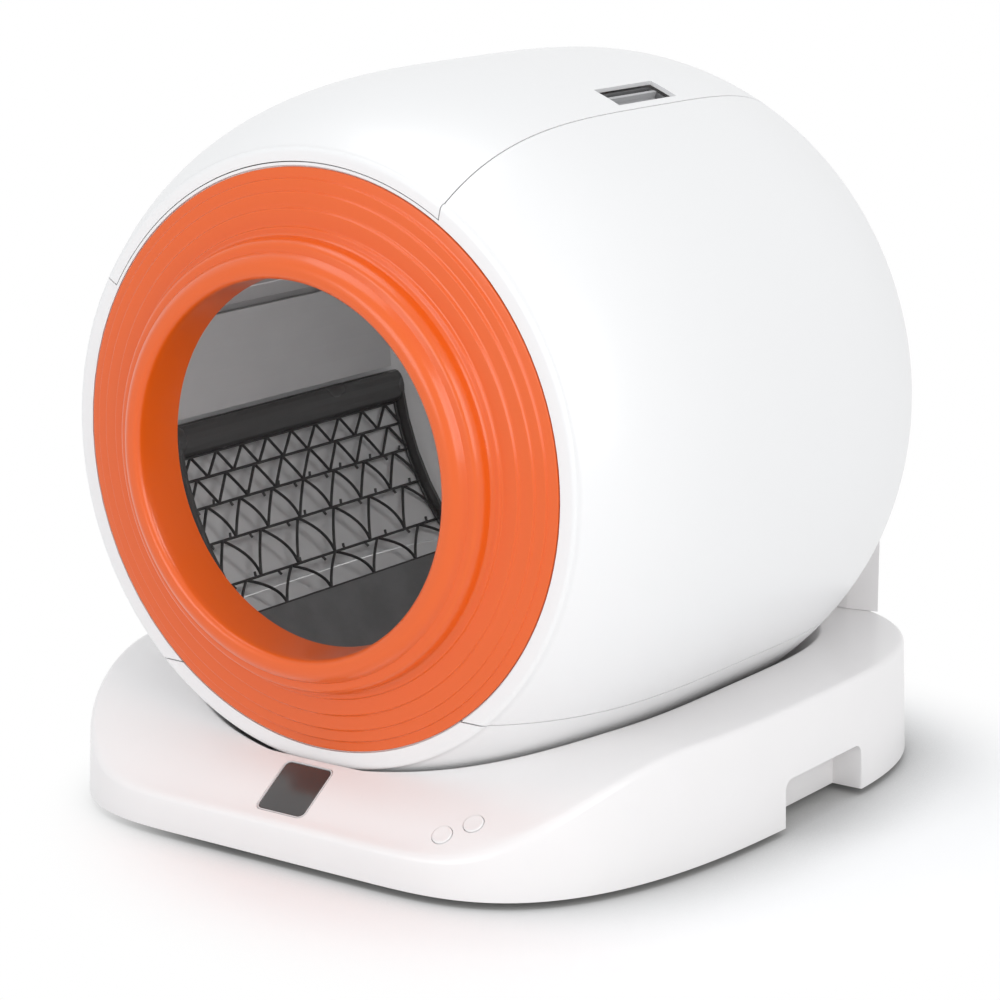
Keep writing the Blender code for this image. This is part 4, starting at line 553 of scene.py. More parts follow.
# Each corner is radius, y and how softly it is rounded, in millimetres, from the edge to the mouth.
ring_corners = (
    (196, -208.2, 0.3), (196, -211.0, 0.8), (190.2, -211.6, 0.4), (189.2, -211.9, 0.35),
    (188.4, -213.6, 0.5), (181.8, -213.8, 0.4), (180.9, -214.2, 0.35), (180.1, -215.6, 0.5),
    (171.2, -215.9, 0.4), (170.2, -216.3, 0.35), (169.2, -218.0, 0.5), (159.3, -218.3, 0.4),
    (158.4, -218.6, 0.35), (157.6, -220.3, 0.5), (154.2, -220.8, 1.2), (152.4, -223.0, 1.0),
    (151.9, -229.4, 3.0), (149.3, -234.3, 2.4), (143.6, -235.1, 0.25), (143.0, -236.2, 0.25),
    (141.2, -239.8, 2.4), (136.6, -243.4, 3.2), (129.6, -243.6, 2.4), (126.7, -240.6, 2.2),
    (126.2, -236.0, 2.0), (126.0, -202.6, 0.4), (129.4, -202.6, 0.3), (129.6, -232.0, 1.0),
    (147.0, -231.4, 1.5), (149.0, -226.0, 0.8), (149.2, -212.0, 0.5), (155.0, -210.4, 0.5),
    (155.2, -208.2, 0.3),
)
ring_line = rounded([(r * MM, y * MM) for r, y, _ in ring_corners],
                    [soft * MM for _, _, soft in ring_corners], 5)
piece("entry_ring", lathe("entry_ring", ring_line, 240, (0, AXIS)), orange_plastic, "drum",
      ["front_ring"], sharp=radians(40))


# Base housing
# A wide low moulding in a slightly warmer white. A round well for the drum is sunk in its top, and
# its front runs down in a long soft ramp. Hand holds are let into both sides.
BASE_FRONT, BASE_BACK, BASE_MIDDLE = -263.7 * MM, 263.7 * MM, 62.1 * MM
BASE_LOW = 5 * MM
BASE_HALF = 250 * MM
BASE_WALL = 2.6 * MM
FRONT_PLAN, BACK_PLAN = (78.1 * MM, 3.07), (88.8 * MM, 2.65)
SIDE_DRAFT = 0.035
TOP_ROUND = 4.2 * MM
LIP_ROUND = 1.6 * MM
DECK = 88 * MM
RAMP_LOW, RAMP_LENGTH = 30 * MM, 158.7 * MM
RAMP_FOOT_PULL, RAMP_HEAD_PULL = 16.7 * MM, 100 * MM
WELL_MIDDLE = 12 * MM
WELL_GAP, WELL_FRONT_GAP, WELL_BACK_GAP = 4.5 * MM, 3 * MM, 8 * MM
PLATE_TOP = 7.5 * MM


def plan_half(y, inset):
    """Half width of the base's plan, its edge moved in."""
    flat, power = FRONT_PLAN if y < BASE_MIDDLE else BACK_PLAN
    end = BASE_FRONT + inset if y < BASE_MIDDLE else BASE_BACK - inset
    share = (y - BASE_MIDDLE) / (end - BASE_MIDDLE)
    if share >= 1:
        return -1
    return flat + (BASE_HALF - inset - flat) * (1 - share ** power) ** (1 / power)


def ramp_top(y):
    """Height of the top: a long S curve from the front edge up to the flat deck."""
    start, end = BASE_FRONT, BASE_FRONT + RAMP_LENGTH
    if y >= end:
        return DECK
    low, high = 0.0, 1.0
    for _ in range(30):
        t = (low + high) / 2
        u = 1 - t
        place = (u ** 3 * start + 3 * u * u * t * (start + RAMP_FOOT_PULL)
                 + 3 * u * t * t * (end - RAMP_HEAD_PULL) + t ** 3 * end)
        low, high = (t, high) if place < y else (low, t)
    u = 1 - low
    foot = u ** 3 + 3 * u * u * low
    return RAMP_LOW * foot + DECK * (1 - foot)


def well_line():
    """Radius and y of the hollow round the drum: a narrow gap at the front, a wider one at the back."""
    front, back = FRONT_FACE + FRONT_ROUND, BACK_FACE - BACK_ROUND
    step = 0.05 * MM
    line = [(drum_radius_at(front) - 1 * MM, FRONT_FACE - WELL_FRONT_GAP)]
    for y in spread(front, back, 160):
        limit, end_gap = (front, WELL_FRONT_GAP) if y < DRUM_MIDDLE else (back, WELL_BACK_GAP)
        gap = WELL_GAP + (end_gap - WELL_GAP) * ((y - DRUM_MIDDLE) / (limit - DRUM_MIDDLE)) ** 3
        slope = (drum_radius_at(y + step) - drum_radius_at(y - step)) / (2 * step)
        away = gap / hypot(1, slope)
        line.append((drum_radius_at(y) + away, y - slope * away))
    line.append((drum_radius_at(back) - BACK_SHOULDER, BACK_FACE + WELL_BACK_GAP))
    return line


well_places = well_line()


def well_radius(y, extra):
    """Radius of the hollow at one y, widened all round by a bit, or -1 past its ends."""
    front, back = well_places[0][1], well_places[-1][1]
    if not front - extra <= y <= back + extra:
        return -1
    y = min(max(y, front), back)
    low, high = 0, len(well_places) - 1
    while high - low > 1:
        middle = (low + high) // 2
        low, high = (middle, high) if well_places[middle][1] <= y else (low, middle)
    (r1, y1), (r2, y2) = well_places[low], well_places[high]
    return r1 + (r2 - r1) * (y - y1) / (y2 - y1) + extra


def reach_along(direction, inside):
    """Distance from the well's middle, in plan, at which a test stops being true."""
    low, high = 0.0, 0.5
    for _ in range(30):
        middle = (low + high) / 2
        if inside(middle * direction[0], WELL_MIDDLE + middle * direction[1]):
            low = middle
        else:
            high = middle
    return low


def base_rings(wall):
    """Rings from the outer foot over the top and down into the well, a wall inside the outer face."""
    edge = max(0.5 * MM, TOP_ROUND - wall)
    lip = LIP_ROUND if wall == 0 else 0.5 * MM
    count = 288
    directions = [(sin(2 * pi * i / count), -cos(2 * pi * i / count)) for i in range(count)]
    rings = []

    def to_side(direction, inset):
        """Reach from the well's middle to the base's side."""
        return reach_along(direction, lambda x, y: abs(x) < plan_half(y, wall + inset))

    def outline(height_share):
        """Reach, height and top of the side wall in each direction, at a share of its height."""
        ring = []
        for direction in directions:
            top = ramp_top(WELL_MIDDLE + to_side(direction, 0) * direction[1]) - wall
            z = BASE_LOW + (top - edge - BASE_LOW) * height_share
            ring.append((to_side(direction, SIDE_DRAFT * (z - BASE_LOW)), z, top))
        return ring

    def points(ring):
        return [(r * d[0], WELL_MIDDLE + r * d[1], z) for (r, z, *_), d in zip(ring, directions)]

    for share in (0, 0.02, 0.35, 0.7, 1):
        rings.append(points(outline(share)))
    head = outline(1)
    for i in range(1, 6):
        turn = pi / 2 * i / 5
        inset, rise = edge * (1 - cos(turn)), edge * sin(turn)
        ring = []
        for (_, z, top), direction in zip(head, directions):
            reach = to_side(direction, inset + SIDE_DRAFT * (z - BASE_LOW))
            y = WELL_MIDDLE + reach * direction[1]
            ring.append((reach, z + rise + (ramp_top(y) - wall - top) * (rise / edge) ** 2))
        rings.append(points(ring))
    outer_edge = [hypot(x, y - WELL_MIDDLE) for x, y, _ in rings[-1]]

    def in_well(x, y, extra=0):
        radius = well_radius(y, wall)
        return radius > 0 and hypot(x, AXIS - (ramp_top(y) - wall)) < radius + extra

    mouth = [reach_along(d, in_well) for d in directions]
    near = [reach_along(d, lambda x, y: in_well(x, y, lip)) for d in directions]
    near = [max(n, m + lip * 0.7) for n, m in zip(near, mouth)]
    for i in range(1, 17):
        share = i / 16
        ring = []
        for out, inner, direction in zip(outer_edge, near, directions):
            reach = out + (inner - out) * share
            ring.append((reach, ramp_top(WELL_MIDDLE + reach * direction[1]) - wall))
        rings.append(points(ring))

    def well_height(x, y):
        radius = max(well_radius(y, wall), abs(x) + 0.1 * MM)
        return AXIS - sqrt(radius ** 2 - x ** 2)

    for share in (0.3, 0.65, 1):
        ring = []
        for i, direction in enumerate(directions):
            start, corner = near[i], mouth[i]
            end = corner - lip * 0.8
            end_z = well_height(end * direction[0], WELL_MIDDLE + end * direction[1])
            start_z = ramp_top(WELL_MIDDLE + start * direction[1]) - wall
            corner_z = ramp_top(WELL_MIDDLE + corner * direction[1]) - wall
            u = 1 - share
            reach = u * u * start + 2 * u * share * corner + share * share * end
            z = u * u * start_z + 2 * u * share * corner_z + share * share * end_z
            ring.append((reach, z))
        rings.append(points(ring))
    for share in (0.985, 0.96, 0.92, 0.86, 0.78, 0.68, 0.56, 0.42, 0.26, 0.1):
        ring = []
        for i, direction in enumerate(directions):
            reach = (mouth[i] - lip * 0.8) * share
            x, y = reach * direction[0], WELL_MIDDLE + reach * direction[1]
            ring.append((reach, max(well_height(x, y), PLATE_TOP + 0.3 * MM)))
        rings.append(points(ring))
    return rings


warm_plastic = moulded("warm_white_plastic", (0.85, 0.835, 0.835), 0.33, shade=0.012, grain=0.04, coat=0.15)


def boxes(name, spans):
    """Plain boxes joined in one mesh, to cut with."""
    bm = bmesh.new()
    for low, high in spans:
        made = bmesh.ops.create_cube(bm, size=1)["verts"]
        bmesh.ops.scale(bm, verts=made, vec=Vector(high) - Vector(low))
        bmesh.ops.translate(bm, verts=made, vec=(Vector(high) + Vector(low)) / 2)
    return finished_mesh(name, bm)


def corner_outline(half_u, half_v, corner, steps, middle=(0, 0)):
    """A flat rectangle with round corners."""
    points = []
    for i, (su, sv) in enumerate(((1, 1), (-1, 1), (-1, -1), (1, -1))):
        for k in range(steps + 1):
            turn = pi / 2 * (i + k / steps)
            points.append((middle[0] + su * (half_u - corner) + corner * cos(turn),
                           middle[1] + sv * (half_v - corner) + corner * sin(turn)))
    return points


def layered(name, layers, matrix=None, capped=True):
    """Outlines of equal length, each a list of points, stacked up. The ends get a face, or else meet."""
    bm = bmesh.new()
    rings = [[bm.verts.new(p) for p in layer] for layer in layers]
    for first, second in zip(rings, rings[1:]):
        for i in range(len(first)):
            j = (i + 1) % len(first)
            bm.faces.new((first[i], first[j], second[j], second[i]))
    if capped:
        bm.faces.new(rings[0])
        bm.faces.new(rings[-1])
    else:
        bmesh.ops.remove_doubles(bm, verts=bm.verts, dist=WELD)
    mesh = finished_mesh(name, bm)
    if matrix is not None:
        mesh.transform(matrix)
    return mesh


def shaped(obj, operation, mesh):
    """Join or cut a piece with a helper mesh, and keep only the result."""
    helper = bpy.data.objects.new("helper", mesh)
    bpy.context.scene.collection.objects.link(helper)
    step = obj.modifiers.new("shape", "BOOLEAN")
    step.operation = operation
    step.solver = "EXACT"
    step.object = helper
    bpy.context.view_layer.update()
    made = bpy.data.meshes.new_from_object(obj.evaluated_get(bpy.context.evaluated_depsgraph_get()))
    obj.modifiers.clear()
    old = obj.data
    obj.data = made
    made.name = old.name
    bpy.data.meshes.remove(old)
    bpy.data.objects.remove(helper)
    bpy.data.meshes.remove(mesh)


def on_ramp(x, y):
    """Matrix that stands a small piece square on the ramp."""
    rise = ramp_top(y + 1 * MM) - ramp_top(y - 1 * MM)
    return Matrix.Translation((x, y, ramp_top(y))) @ Matrix.Rotation(atan2(rise, 2 * MM), 4, "X")


HOLD_FRONT, HOLD_BACK, HOLD_TOP, HOLD_CORNER = -12.5 * MM, 91 * MM, 38.5 * MM, 8 * MM
BELOW = -20 * MM


def hold_outline(margin, x, foot=BELOW):
    """Side view of a hand hold, open below, at one x."""
    low, high, top = HOLD_FRONT - margin, HOLD_BACK + margin, HOLD_TOP + margin
    corner = HOLD_CORNER + margin
    points = [(x, high, foot)]
    for k in range(9):
        turn = pi / 2 * k / 8
        points.append((x, high - corner + corner * cos(turn), top - corner + corner * sin(turn)))
    for k in range(9):
        turn = pi / 2 * (1 + k / 8)
        points.append((x, low + corner + corner * cos(turn), top - corner + corner * sin(turn)))
    points.append((x, low, foot))
    return points


DISPLAY_Y = -236.3 * MM
BUTTONS = {"clean_button": (128 * MM, -243 * MM), "power_button": (144.9 * MM, -231.6 * MM)}
ROLLER_X, ROLLER_Z = 163.643 * MM, 54.847 * MM
ROLLER_PLACES = {"front": -45 * MM, "back": 75 * MM}
WINDOW_X, WINDOW_Y, WINDOW_TOP = 18 * MM, 17.1 * MM, 73.8 * MM
PINION_Z = 96.3 * MM
base_mesh = closed_sheet("base_body", base_rings(0), base_rings(BASE_WALL), round_about=True)
base_body = piece("base_body", base_mesh, warm_plastic, "base", ["base_housing"],
                  sharp=radians(50))

# The hand holds are pockets with a floor of their own, open at the foot and at the side.
for sign in (1, -1):
    pocket = [hold_outline(2.5 * MM, sign * x * MM, BASE_LOW) for x in (223.5, 247.6)]
    shaped(base_body, "UNION", layered("pocket", pocket))
    hollow = [hold_outline(margin * MM, sign * x * MM)
              for x, margin in ((226, 0), (248.6, 0), (249.6, 0.7), (262, 3))]
    shaped(base_body, "DIFFERENCE", layered("hollow", hollow))

# Windows let the rollers and the cable through, and a round room clears the pinion.
windows = []
for sign in (1, -1):
    for y in ROLLER_PLACES.values():
        windows.append(((sign * ROLLER_X - WINDOW_X, y - WINDOW_Y, -12 * MM),
                        (sign * ROLLER_X + WINDOW_X, y + WINDOW_Y, WINDOW_TOP)))
windows.append(((-29 * MM, 243 * MM, 80 * MM), (29 * MM, 257.7 * MM, 92 * MM)))
shaped(base_body, "DIFFERENCE", boxes("windows", windows))


def round_cut(obj, name, profile, steps, middle):
    """Cut a turned room whose profile of radius and y is in millimetres."""
    room = lathe(name, [(r * MM, y * MM) for r, y in profile], steps, middle, False)
    shaped(obj, "DIFFERENCE", room)


round_cut(base_body, "pinion_room", [(0, 222), (31, 222), (31, 237), (0, 237)], 48, (0, PINION_Z))
round_cut(base_body, "inlet_room", [(0, 250), (6.9, 250), (6.9, 262.6), (8.6, 265), (0, 265)],
          40, (-70 * MM, 27 * MM))

# The display's recess and the two button holes stand square on the ramp, with a softened edge.
recess_steps = ((-3, 0), (-0.4, 0), (0.6, 0.8), (9, 0.8))
recess = [[(u, v, z * MM) for u, v in
           corner_outline((20.85 + flare) * MM, (21.85 + flare) * MM, (5.4 + flare) * MM, 8)]
          for z, flare in recess_steps]
shaped(base_body, "DIFFERENCE", layered("recess", recess, on_ramp(0, DISPLAY_Y)))
for x, y in BUTTONS.values():
    hole = [[(r * MM * cos(2 * pi * i / 48), r * MM * sin(2 * pi * i / 48), z * MM) for i in range(48)]
            for z, r in ((-9, 7.35), (-0.3, 7.35), (0.4, 8), (6, 8))]
    shaped(base_body, "DIFFERENCE", layered("hole", hole, on_ramp(x, y)))
base_body.data.shade_smooth()
base_body.data.set_sharp_from_angle(angle=radians(40))


# Display
# A smoked window with round corners in a thin pale frame, glued into its recess in the ramp.
window_look = moulded("smoked_window", (0.052, 0.05, 0.05), 0.2, shade=0.2, grain=0.004, coat=0.35)
frame_look = moulded("pale_frame_plastic", (0.66, 0.655, 0.66), 0.35, grain=0.03)


def rim_layers(half_u, half_v, corner, low, top, soft):
    """Layers of a plate with a small round on its upper edge."""
    layers = [[(u, v, low) for u, v in corner_outline(half_u, half_v, corner, 8)]]
    for k in range(4):
        turn = pi / 2 * k / 3
        inset = soft * (1 - cos(turn))
        edge = corner_outline(half_u - inset, half_v - inset, corner - inset, 8)
        layers.append([(u, v, top - soft + soft * sin(turn)) for u, v in edge])
    return layers


display_place = on_ramp(0, DISPLAY_Y)
glass_layers = rim_layers(19.25 * MM, 20.25 * MM, 4 * MM, -2.7 * MM, -0.5 * MM, 0.5 * MM)
glass = layered("display_glass", glass_layers, display_place)
piece("display_glass", glass, window_look, "base", ["display_window"])
loops = []
for half, low in ((20.55, -2.7), (20.55, -0.25), (20.35, -0.02), (20.0, 0.02), (19.7, -0.15), (19.55, -0.5),
                  (19.55, -2.7)):
    outline = corner_outline(half * MM, (half + 1) * MM, (half - 15.25) * MM, 8)
    loops.append([(u, v, low * MM) for u, v in outline])
frame_mesh = layered("display_frame", loops + [loops[0]], display_place, capped=False)
piece("display_frame", frame_mesh, frame_look, "base", ["display_bezel"])


# Push buttons
# Two round caps in the base's white, one to start a cleaning turn and one for power. Each has a
# shallow dish for the fingertip and a stem down to its switch.
button_look = moulded("button_plastic", (0.84, 0.83, 0.83), 0.4, shade=0.02, grain=0.06, grain_size=0.0006)
cap_corners = ((0, 0.62, 0), (4.6, 0.84, 2), (6.2, 0.92, 0.5), (7, 0.5, 0.5), (7, -2.5, 0.3),
               (2.2, -2.5, 0.2), (2.2, -7.5, 0.3), (0, -7.5, 0))
cap_line = rounded([(r * MM, y * MM) for r, y, _ in cap_corners], [soft * MM for _, _, soft in cap_corners])
for (name, (x, y)), body in zip(BUTTONS.items(), ("clean_key", "power_key")):
    cap_mesh = lathe(name + "_cap", cap_line, 56, (0, 0), False)
    cap_mesh.transform(on_ramp(x, y) @ Matrix.Rotation(pi / 2, 4, "X"))
    piece(name + "_cap", cap_mesh, button_look, body, [name])


# Bottom plate and feet
# A thin plate of the base's own plastic closes the underside. Four screws with cross recesses hold
# it, and four ribbed rubber pads are pressed in beneath.
underside_look = moulded("underside_plastic", (0.80, 0.785, 0.785), 0.42, grain=0.12, grain_size=0.0009)
zinc = moulded("zinc_plated_steel", (0.58, 0.58, 0.6), 0.34, patch=0.1, patch_size=0.004, grain=0.08,
               grain_size=0.0004, metal=1.0)
rubber = moulded("black_rubber", (0.028, 0.028, 0.029), 0.78, patch=0.08, shade=0.2, grain=0.3,
                 grain_size=0.0007, gloss=0.35)


def finish_node(name, look, soft=0.25 * MM, angle=radians(34)):
    """Give a part that keeps its own form its surface and small rounded edges."""
    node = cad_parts[name]
    node.data.materials.clear()
    node.data.materials.append(look)
    weld = node.modifiers.new("weld", "WELD")
    weld.merge_threshold = SLACK
    soften(node, soft, angle)
    node.modifiers.new("even_shading", "WEIGHTED_NORMAL").keep_sharp = True


finish_node("base_bottom_plate", underside_look, 0.3 * MM)


def cross_screw(name, head, node):
    """A low round screw head with a cross recess. The matrix puts its top at the origin, facing up."""
    rings = []
    for radius, z, star in ((1.1, -0.9, 0.5), (1.3, -0.15, 0.5), (1.4, 0, 0.45), (2.1, 0, 0), (2.9, -0.12, 0),
                            (3.4, -0.55, 0), (3.4, -1.5, 0)):
        ring = []
        for i in range(48):
            turn = 2 * pi * i / 48
            petal = radius * MM * (1 - star * (1 - abs(cos(2 * turn)) ** 0.5))
            ring.append((petal * cos(turn), petal * sin(turn), z * MM))
        rings.append(ring)
    piece(name, layered(name, rings, head), zinc, "base", [node], sharp=radians(28))


for number in ("1", "2", "3", "4"):
    low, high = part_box("bottom_screw_" + number)
    middle = (Vector(low) + Vector(high)) / 2
    head = Matrix.Translation((middle.x, middle.y, low[2])) @ Matrix.Rotation(pi, 4, "X")
    cross_screw("bottom_screw_head_" + number, head, "bottom_screw_" + number)
foot_line = [(0, 0.35), (4, 0.35), (4.4, 0), (5.6, 0), (6, 0.35), (8, 0.35), (8.4, 0), (9.6, 0), (10, 0.35),
             (11.6, 0.35), (12, 0), (13.2, 0), (13.9, 0.9), (14, 4.7), (0, 4.7)]
for place in ("front_left", "front_right", "back_left", "back_right"):
    low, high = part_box("rubber_foot_" + place)
    middle = (Vector(low) + Vector(high)) / 2
    foot = lathe("foot_" + place, [(r * MM, z * MM) for r, z in foot_line], 56, (0, 0), False)
    foot.transform(Matrix.Translation((middle.x, middle.y, 0)) @ Matrix.Rotation(pi / 2, 4, "X"))
    for vert in foot.vertices:
        vert.co.z = abs(vert.co.z)
    piece("foot_" + place, foot, rubber, "base", ["rubber_foot_" + place])


# Rear tower and back cover
# A flat hollow column with a round head stands behind the drum and holds its pin. It is moulded in
# the base's plastic. A vented cover is screwed into its back.
TOWER_HALF = 178 * MM
TOWER_FRONT = 240 * MM
TOWER_INSET = 3.08 * MM


def head_outline(inset, low, y):
    """Front view of the tower at one y: straight sides and a head round about the drum's axis."""
    half = TOWER_HALF - inset
    arch = [(half * sin(a), y, AXIS + half * cos(a)) for a in spread(-pi / 2, pi / 2, 97)]
    return [(-half, y, low)] + arch + [(half, y, low)]


def back_outline(z):
    """The base's back end in plan, which the tower follows."""
    flat, power = BACK_PLAN
    length = BASE_BACK - TOWER_INSET - BASE_MIDDLE
    right = []
    for turn in spread(1.02, pi / 2, 40):
        reach = flat + (BASE_HALF - TOWER_INSET - flat) * max(0, cos(turn)) ** (2 / power)
        right.append((reach, BASE_MIDDLE + length * sin(turn) ** (2 / power), z))
    return right + [(-x, y, z) for x, y, z in reversed(right)]


tower_layers = [head_outline(0, DECK + 0.3 * MM, y) for y in (TOWER_FRONT, 290 * MM)]
tower = piece("tower_wall", layered("tower_wall", tower_layers), warm_plastic, "base",
              ["rear_tower"])
shaped(tower, "INTERSECT", layered("back_plan", [back_outline(z) for z in (60 * MM, 470 * MM)]))
hollow = [head_outline(inset * MM, 80 * MM, y * MM) for y, inset in ((243, 31), (252, 31), (257.6, 58))]
shaped(tower, "DIFFERENCE", layered("tower_hollow", hollow))
cover_outline = corner_outline(96 * MM, 119 * MM, 22 * MM, 10, (0, 231 * MM))
cover_room = [[(u, y * MM, v) for u, v in cover_outline] for y in (254, 290)]
shaped(tower, "DIFFERENCE", layered("cover_room", cover_room))
round_cut(tower, "shaft_room", [(0, 230), (10, 230), (10, 244), (0, 244)], 40, (0, PINION_Z))
for sign in (1, -1):
    corner = ((150, 240), (178, 246), (200, 246), (200, 220), (150, 220))
    bend = [[(sign * x * MM, y * MM, z) for x, y in corner] for z in (0, 0.6)]
    shaped(tower, "DIFFERENCE", layered("bend", bend))
soften(tower, 1.4 * MM, angle=radians(24))
tower.modifiers.new("even_shading", "WEIGHTED_NORMAL").keep_sharp = True
finish_node("tower_back_cover", warm_plastic, 0.35 * MM)
for side in ("left", "right"):
    low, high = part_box("cover_screw_" + side)
    middle = (Vector(low) + Vector(high)) / 2
    head = Matrix.Translation((middle.x, high[1], middle.z)) @ Matrix.Rotation(-pi / 2, 4, "X")
    cross_screw("cover_screw_head_" + side, head, "cover_screw_" + side)


# Rollers and cradles
# Four rubber rollers carry the drum. Each has an acetal hub that turns on a steel axle, held in the
# ears of a black cradle on the bottom plate.
acetal = moulded("natural_acetal", (0.74, 0.73, 0.68), 0.38, shade=0.05, grain=0.05, see_in=0.08)
turned_steel = moulded("turned_steel", (0.62, 0.62, 0.64), 0.22, patch=0.06, patch_size=0.003, grain=0.05,
                       grain_size=0.0003, metal=1.0)
dark_plastic = moulded("dark_grey_plastic", (0.062, 0.062, 0.066), 0.48, shade=0.1, grain=0.14,
                       grain_size=0.0008)
tyre_line = [(11.55, -8.9), (14.6, -9.0), (15.6, -8.6), (16, -7.6), (16, -4.2), (15.4, -3.9), (15.4, -3.1),
             (16, -2.8), (16, 2.8), (15.4, 3.1), (15.4, 3.9), (16, 4.2), (16, 7.6), (15.6, 8.6), (14.6, 9.0),
             (11.55, 8.9)]
for side, sign in (("left", -1), ("right", 1)):
    finish_node("roller_cradle_" + side, dark_plastic, 0.4 * MM)
    for end, y in ROLLER_PLACES.items():
        label = end + "_" + side
        tyre_profile = [(r * MM, y + d * MM) for r, d in tyre_line]
        tyre = lathe("tyre_" + label, tyre_profile, 96, (sign * ROLLER_X, ROLLER_Z))
        piece("tyre_" + label, tyre, rubber, "roller_" + label, ["roller_tyre_" + label])
        finish_node("roller_hub_" + label, acetal, 0.3 * MM)
        finish_node("roller_axle_" + label, turned_steel, 0.2 * MM)


# Drum drive
# A toothed acetal ring is clipped on the drum's back and an acetal pinion drives it. The pinion sits on
# a steel shaft from a black gearbox, and a can motor lies beside it. A hub and pin centre the drum.
for name in ("drum_gear", "drive_pinion", "drum_hub"):
    finish_node(name, acetal, 0.25 * MM)
finish_node("drive_shaft", turned_steel, 0.3 * MM)
finish_node("hub_pin", turned_steel, 0.3 * MM)
finish_node("drive_gearbox", dark_plastic, 0.8 * MM)
finish_node("drive_motor", zinc, 0.8 * MM)


# Electrics
# A green control board, a small board under the buttons, a sensor and the magnet that it reads. The
# power inlet is a dark socket in the back wall.
green_board = moulded("circuit_board", (0.018, 0.13, 0.055), 0.36, shade=0.16, grain=0.06, grain_size=0.0005,
                      coat=0.3)
for name in ("control_board", "button_board", "position_sensor"):
    finish_node(name, green_board, 0.15 * MM)
finish_node("home_magnet", turned_steel, 0.3 * MM)
finish_node("power_inlet", dark_plastic, 0.25 * MM)


# Litter liner
# A smooth dark grey bowl of soft plastic lies in the lower drum. A short ramp of a lighter, grained
# grey leads up to the sieve.
LINER_FRONT, LINER_BACK = -178 * MM, 186 * MM
LINER_START, LINER_END = radians(96.1), radians(209.9)
LINER_DEPTH, LINER_WALL = 3.5 * MM, 2.9 * MM
liner_look = moulded("smooth_grey_liner", (0.036, 0.036, 0.037), 0.42, patch=0.05, patch_size=0.09,
                     shade=0.08, grain=0.08, grain_size=0.0014, coat=0.12)
ramp_look = moulded("grained_grey_liner", (0.21, 0.21, 0.212), 0.5, patch=0.05, patch_size=0.03, shade=0.2,
                    grain=0.3, grain_size=0.0016)


def liner_rows(line):
    """The line's points spread round the lower drum."""
    return [[on_drum(r, y, angle) for angle in spread(LINER_START, LINER_END, 110)] for r, y in line]


liner_faces = zip(thinner(drum_line(), LINER_DEPTH), thinner(drum_line(), LINER_DEPTH + LINER_WALL))
liner_pairs = [(outer, inner) for outer, inner in liner_faces if LINER_FRONT < outer[1] < LINER_BACK]
liner_outer, liner_inner = zip(*liner_pairs)
liner_mesh = closed_sheet("liner_bowl", liner_rows(liner_outer), liner_rows(liner_inner))
liner = piece("liner_bowl", liner_mesh, liner_look, "drum", ["litter_liner"])
soften(liner, 0.6 * MM)
finish_node("liner_ramp", ramp_look, 0.5 * MM)


# Sieve
# A curved grey lattice between the ramp and the chute. Its rails run along the drum. The struts
# between them stand like pointed arches, and small stubs on three rails break up clumps.
sieve_look = moulded("sieve_plastic", (0.05, 0.048, 0.048), 0.4, shade=0.08, grain=0.1, grain_size=0.0008,
                     coat=0.1)
SIEVE_FRONT, SIEVE_BACK = -93 * MM, 170 * MM
SIEVE_RADIUS = 229.6 * MM
RAIL_END = 1.2 * MM
rail_angles = [-radians(a) for a in (102.6, 106.9, 112.2, 119.0, 127.4, 134.0)]
row_cells = (9, 8, 7, 6, 5)
row_bows = (0.3 * MM, 0.5 * MM, 1.8 * MM, 3.1 * MM, 3.1 * MM)
row_bends = (0.0, 0.01, 0.06, 0.085, 0.085)


def on_sieve(y, angle, inward=0.0):
    """A point on the lattice, or a little inside it."""
    return Vector(on_drum(SIEVE_RADIUS - inward, y, angle))


def strand(bm, path, wide, deep, sides=10):
    """A rod of oval section along a path on the drum's inside, closed at both ends."""
    rings = []
    for i, here in enumerate(path):
        along = (path[min(i + 1, len(path) - 1)] - path[max(i - 1, 0)]).normalized()
        outward = Vector((here.x, 0, here.z - AXIS)).normalized()
        across = along.cross(outward).normalized()
        depth = across.cross(along).normalized()
        ring = []
        for k in range(sides):
            turn = 2 * pi * k / sides
            ring.append(bm.verts.new(here + across * wide * cos(turn) + depth * deep * sin(turn)))
        rings.append(ring)
    for first, second in zip(rings, rings[1:]):
        for k in range(sides):
            j = (k + 1) % sides
            bm.faces.new((first[k], first[j], second[j], second[k]))
    bm.faces.new(rings[0])
    bm.faces.new(list(reversed(rings[-1])))


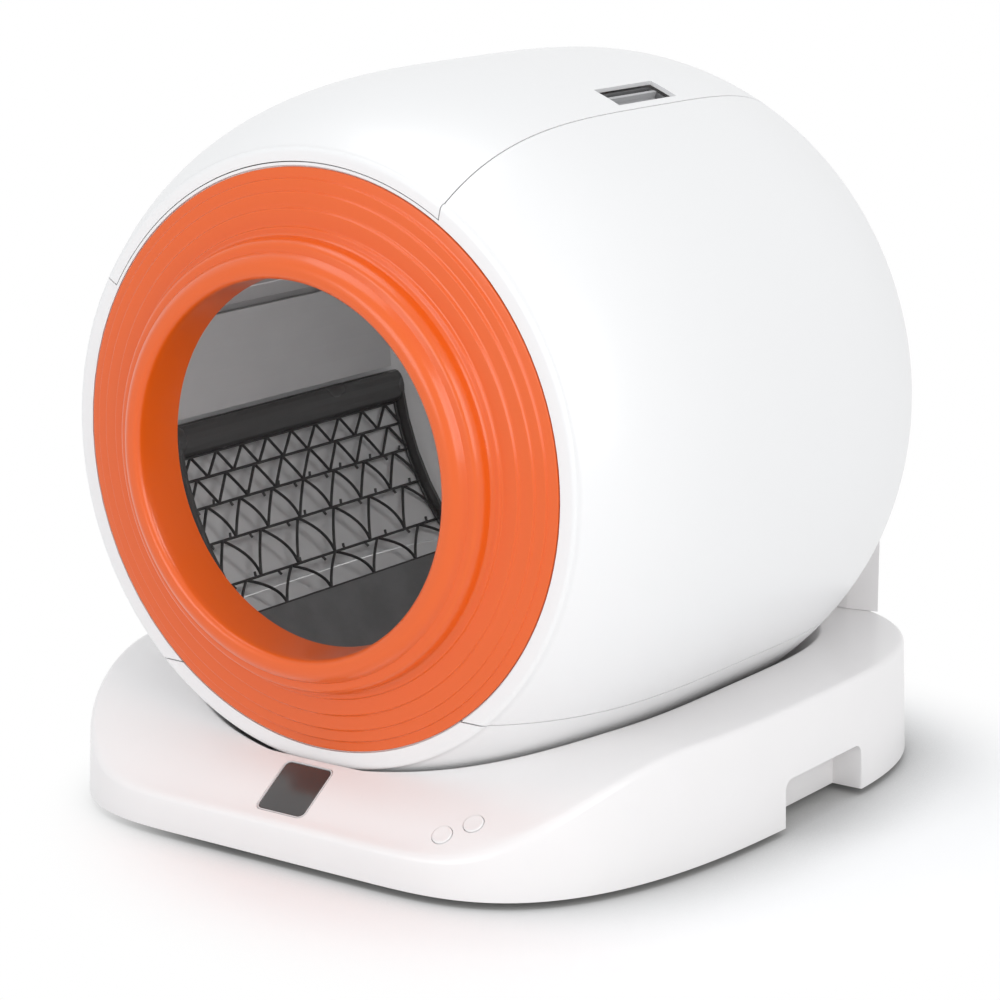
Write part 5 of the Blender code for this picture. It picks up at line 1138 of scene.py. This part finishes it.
sieve_bm = bmesh.new()
for angle in rail_angles:
    rail = [on_sieve(y, angle) for y in spread(SIEVE_FRONT + RAIL_END, SIEVE_BACK - RAIL_END, 8)]
    strand(sieve_bm, rail, 1.1 * MM, 1.35 * MM)
for y in (SIEVE_FRONT + 1.3 * MM, SIEVE_BACK - 1.3 * MM):
    bow = [on_sieve(y, angle) for angle in spread(rail_angles[0], rail_angles[-1], 24)]
    strand(sieve_bm, bow, 1.2 * MM, 1.35 * MM)
for row, cells in enumerate(row_cells):
    pitch = (SIEVE_BACK - SIEVE_FRONT) / cells
    top, low = rail_angles[row], rail_angles[row + 1]
    for j in range(cells):
        peak = SIEVE_FRONT + pitch * (j + 0.5)
        for side in (-1, 1):
            path = []
            for t in spread(0, 1, 10):
                hump = 4 * t * (1 - t)
                y = peak + side * pitch * (t / 2 + row_bends[row] * hump)
                path.append(on_sieve(y, top + (low - top) * t, row_bows[row] * hump))
            strand(sieve_bm, path, 1.05 * MM, 1.25 * MM)
for line in (2, 3, 4):
    pitch = (SIEVE_BACK - SIEVE_FRONT) / row_cells[line]
    for j in range(row_cells[line]):
        for share, way in ((0.2, 1), (0.72, -1)):
            foot = SIEVE_FRONT + pitch * (j + share)
            path = []
            for t in spread(0, 1, 3):
                angle = rail_angles[line] - way * radians(1.05) * t
                path.append(on_sieve(foot + 0.7 * MM * t * t, angle, 0.6 * MM * t))
            strand(sieve_bm, path, 0.95 * MM, 1.1 * MM, 8)
sieve_mesh = finished_mesh("sieve_lattice", sieve_bm)
piece("sieve_lattice", sieve_mesh, sieve_look, "drum", ["sieve_screen"],
      sharp=radians(60))
lip_look = moulded("sieve_lip_plastic", (0.075, 0.073, 0.073), 0.27, shade=0.06, grain=0.07,
                   grain_size=0.0009, coat=0.2)
finish_node("sieve_frame", lip_look, 0.7 * MM, radians(30))


# Waste chute and tub
# A lighter grey wall guides the waste past the sieve to a flap in the floor of a grey tub, which
# lies under the hatch. The flap hangs on a moulded pin.
chute_look = moulded("chute_plastic", (0.68, 0.675, 0.68), 0.34, shade=0.05, grain=0.05, grain_size=0.0012,
                     coat=0.15)
tub_look = moulded("tub_plastic", (0.46, 0.455, 0.46), 0.4, shade=0.05, grain=0.08, grain_size=0.0012)
finish_node("chute_wall", chute_look, 0.4 * MM)
finish_node("waste_tub", tub_look, 0.4 * MM)
finish_node("tub_flap", chute_look, 0.3 * MM)


# Hatch latch
# A grey cup under the finger recess holds a sliding plate of lighter grey. Its grip stands up along
# the recess and its bolt faces a strike under the drum's skin.
latch_look = moulded("latch_plastic", (0.46, 0.46, 0.47), 0.36, shade=0.04, grain=0.05, grain_size=0.0007)
cup_look = moulded("latch_cup_plastic", (0.2, 0.2, 0.205), 0.42, shade=0.06, grain=0.07, grain_size=0.0008)
finish_node("latch_recess_cup", cup_look, 0.3 * MM)
finish_node("latch_slider", latch_look, 0.35 * MM)
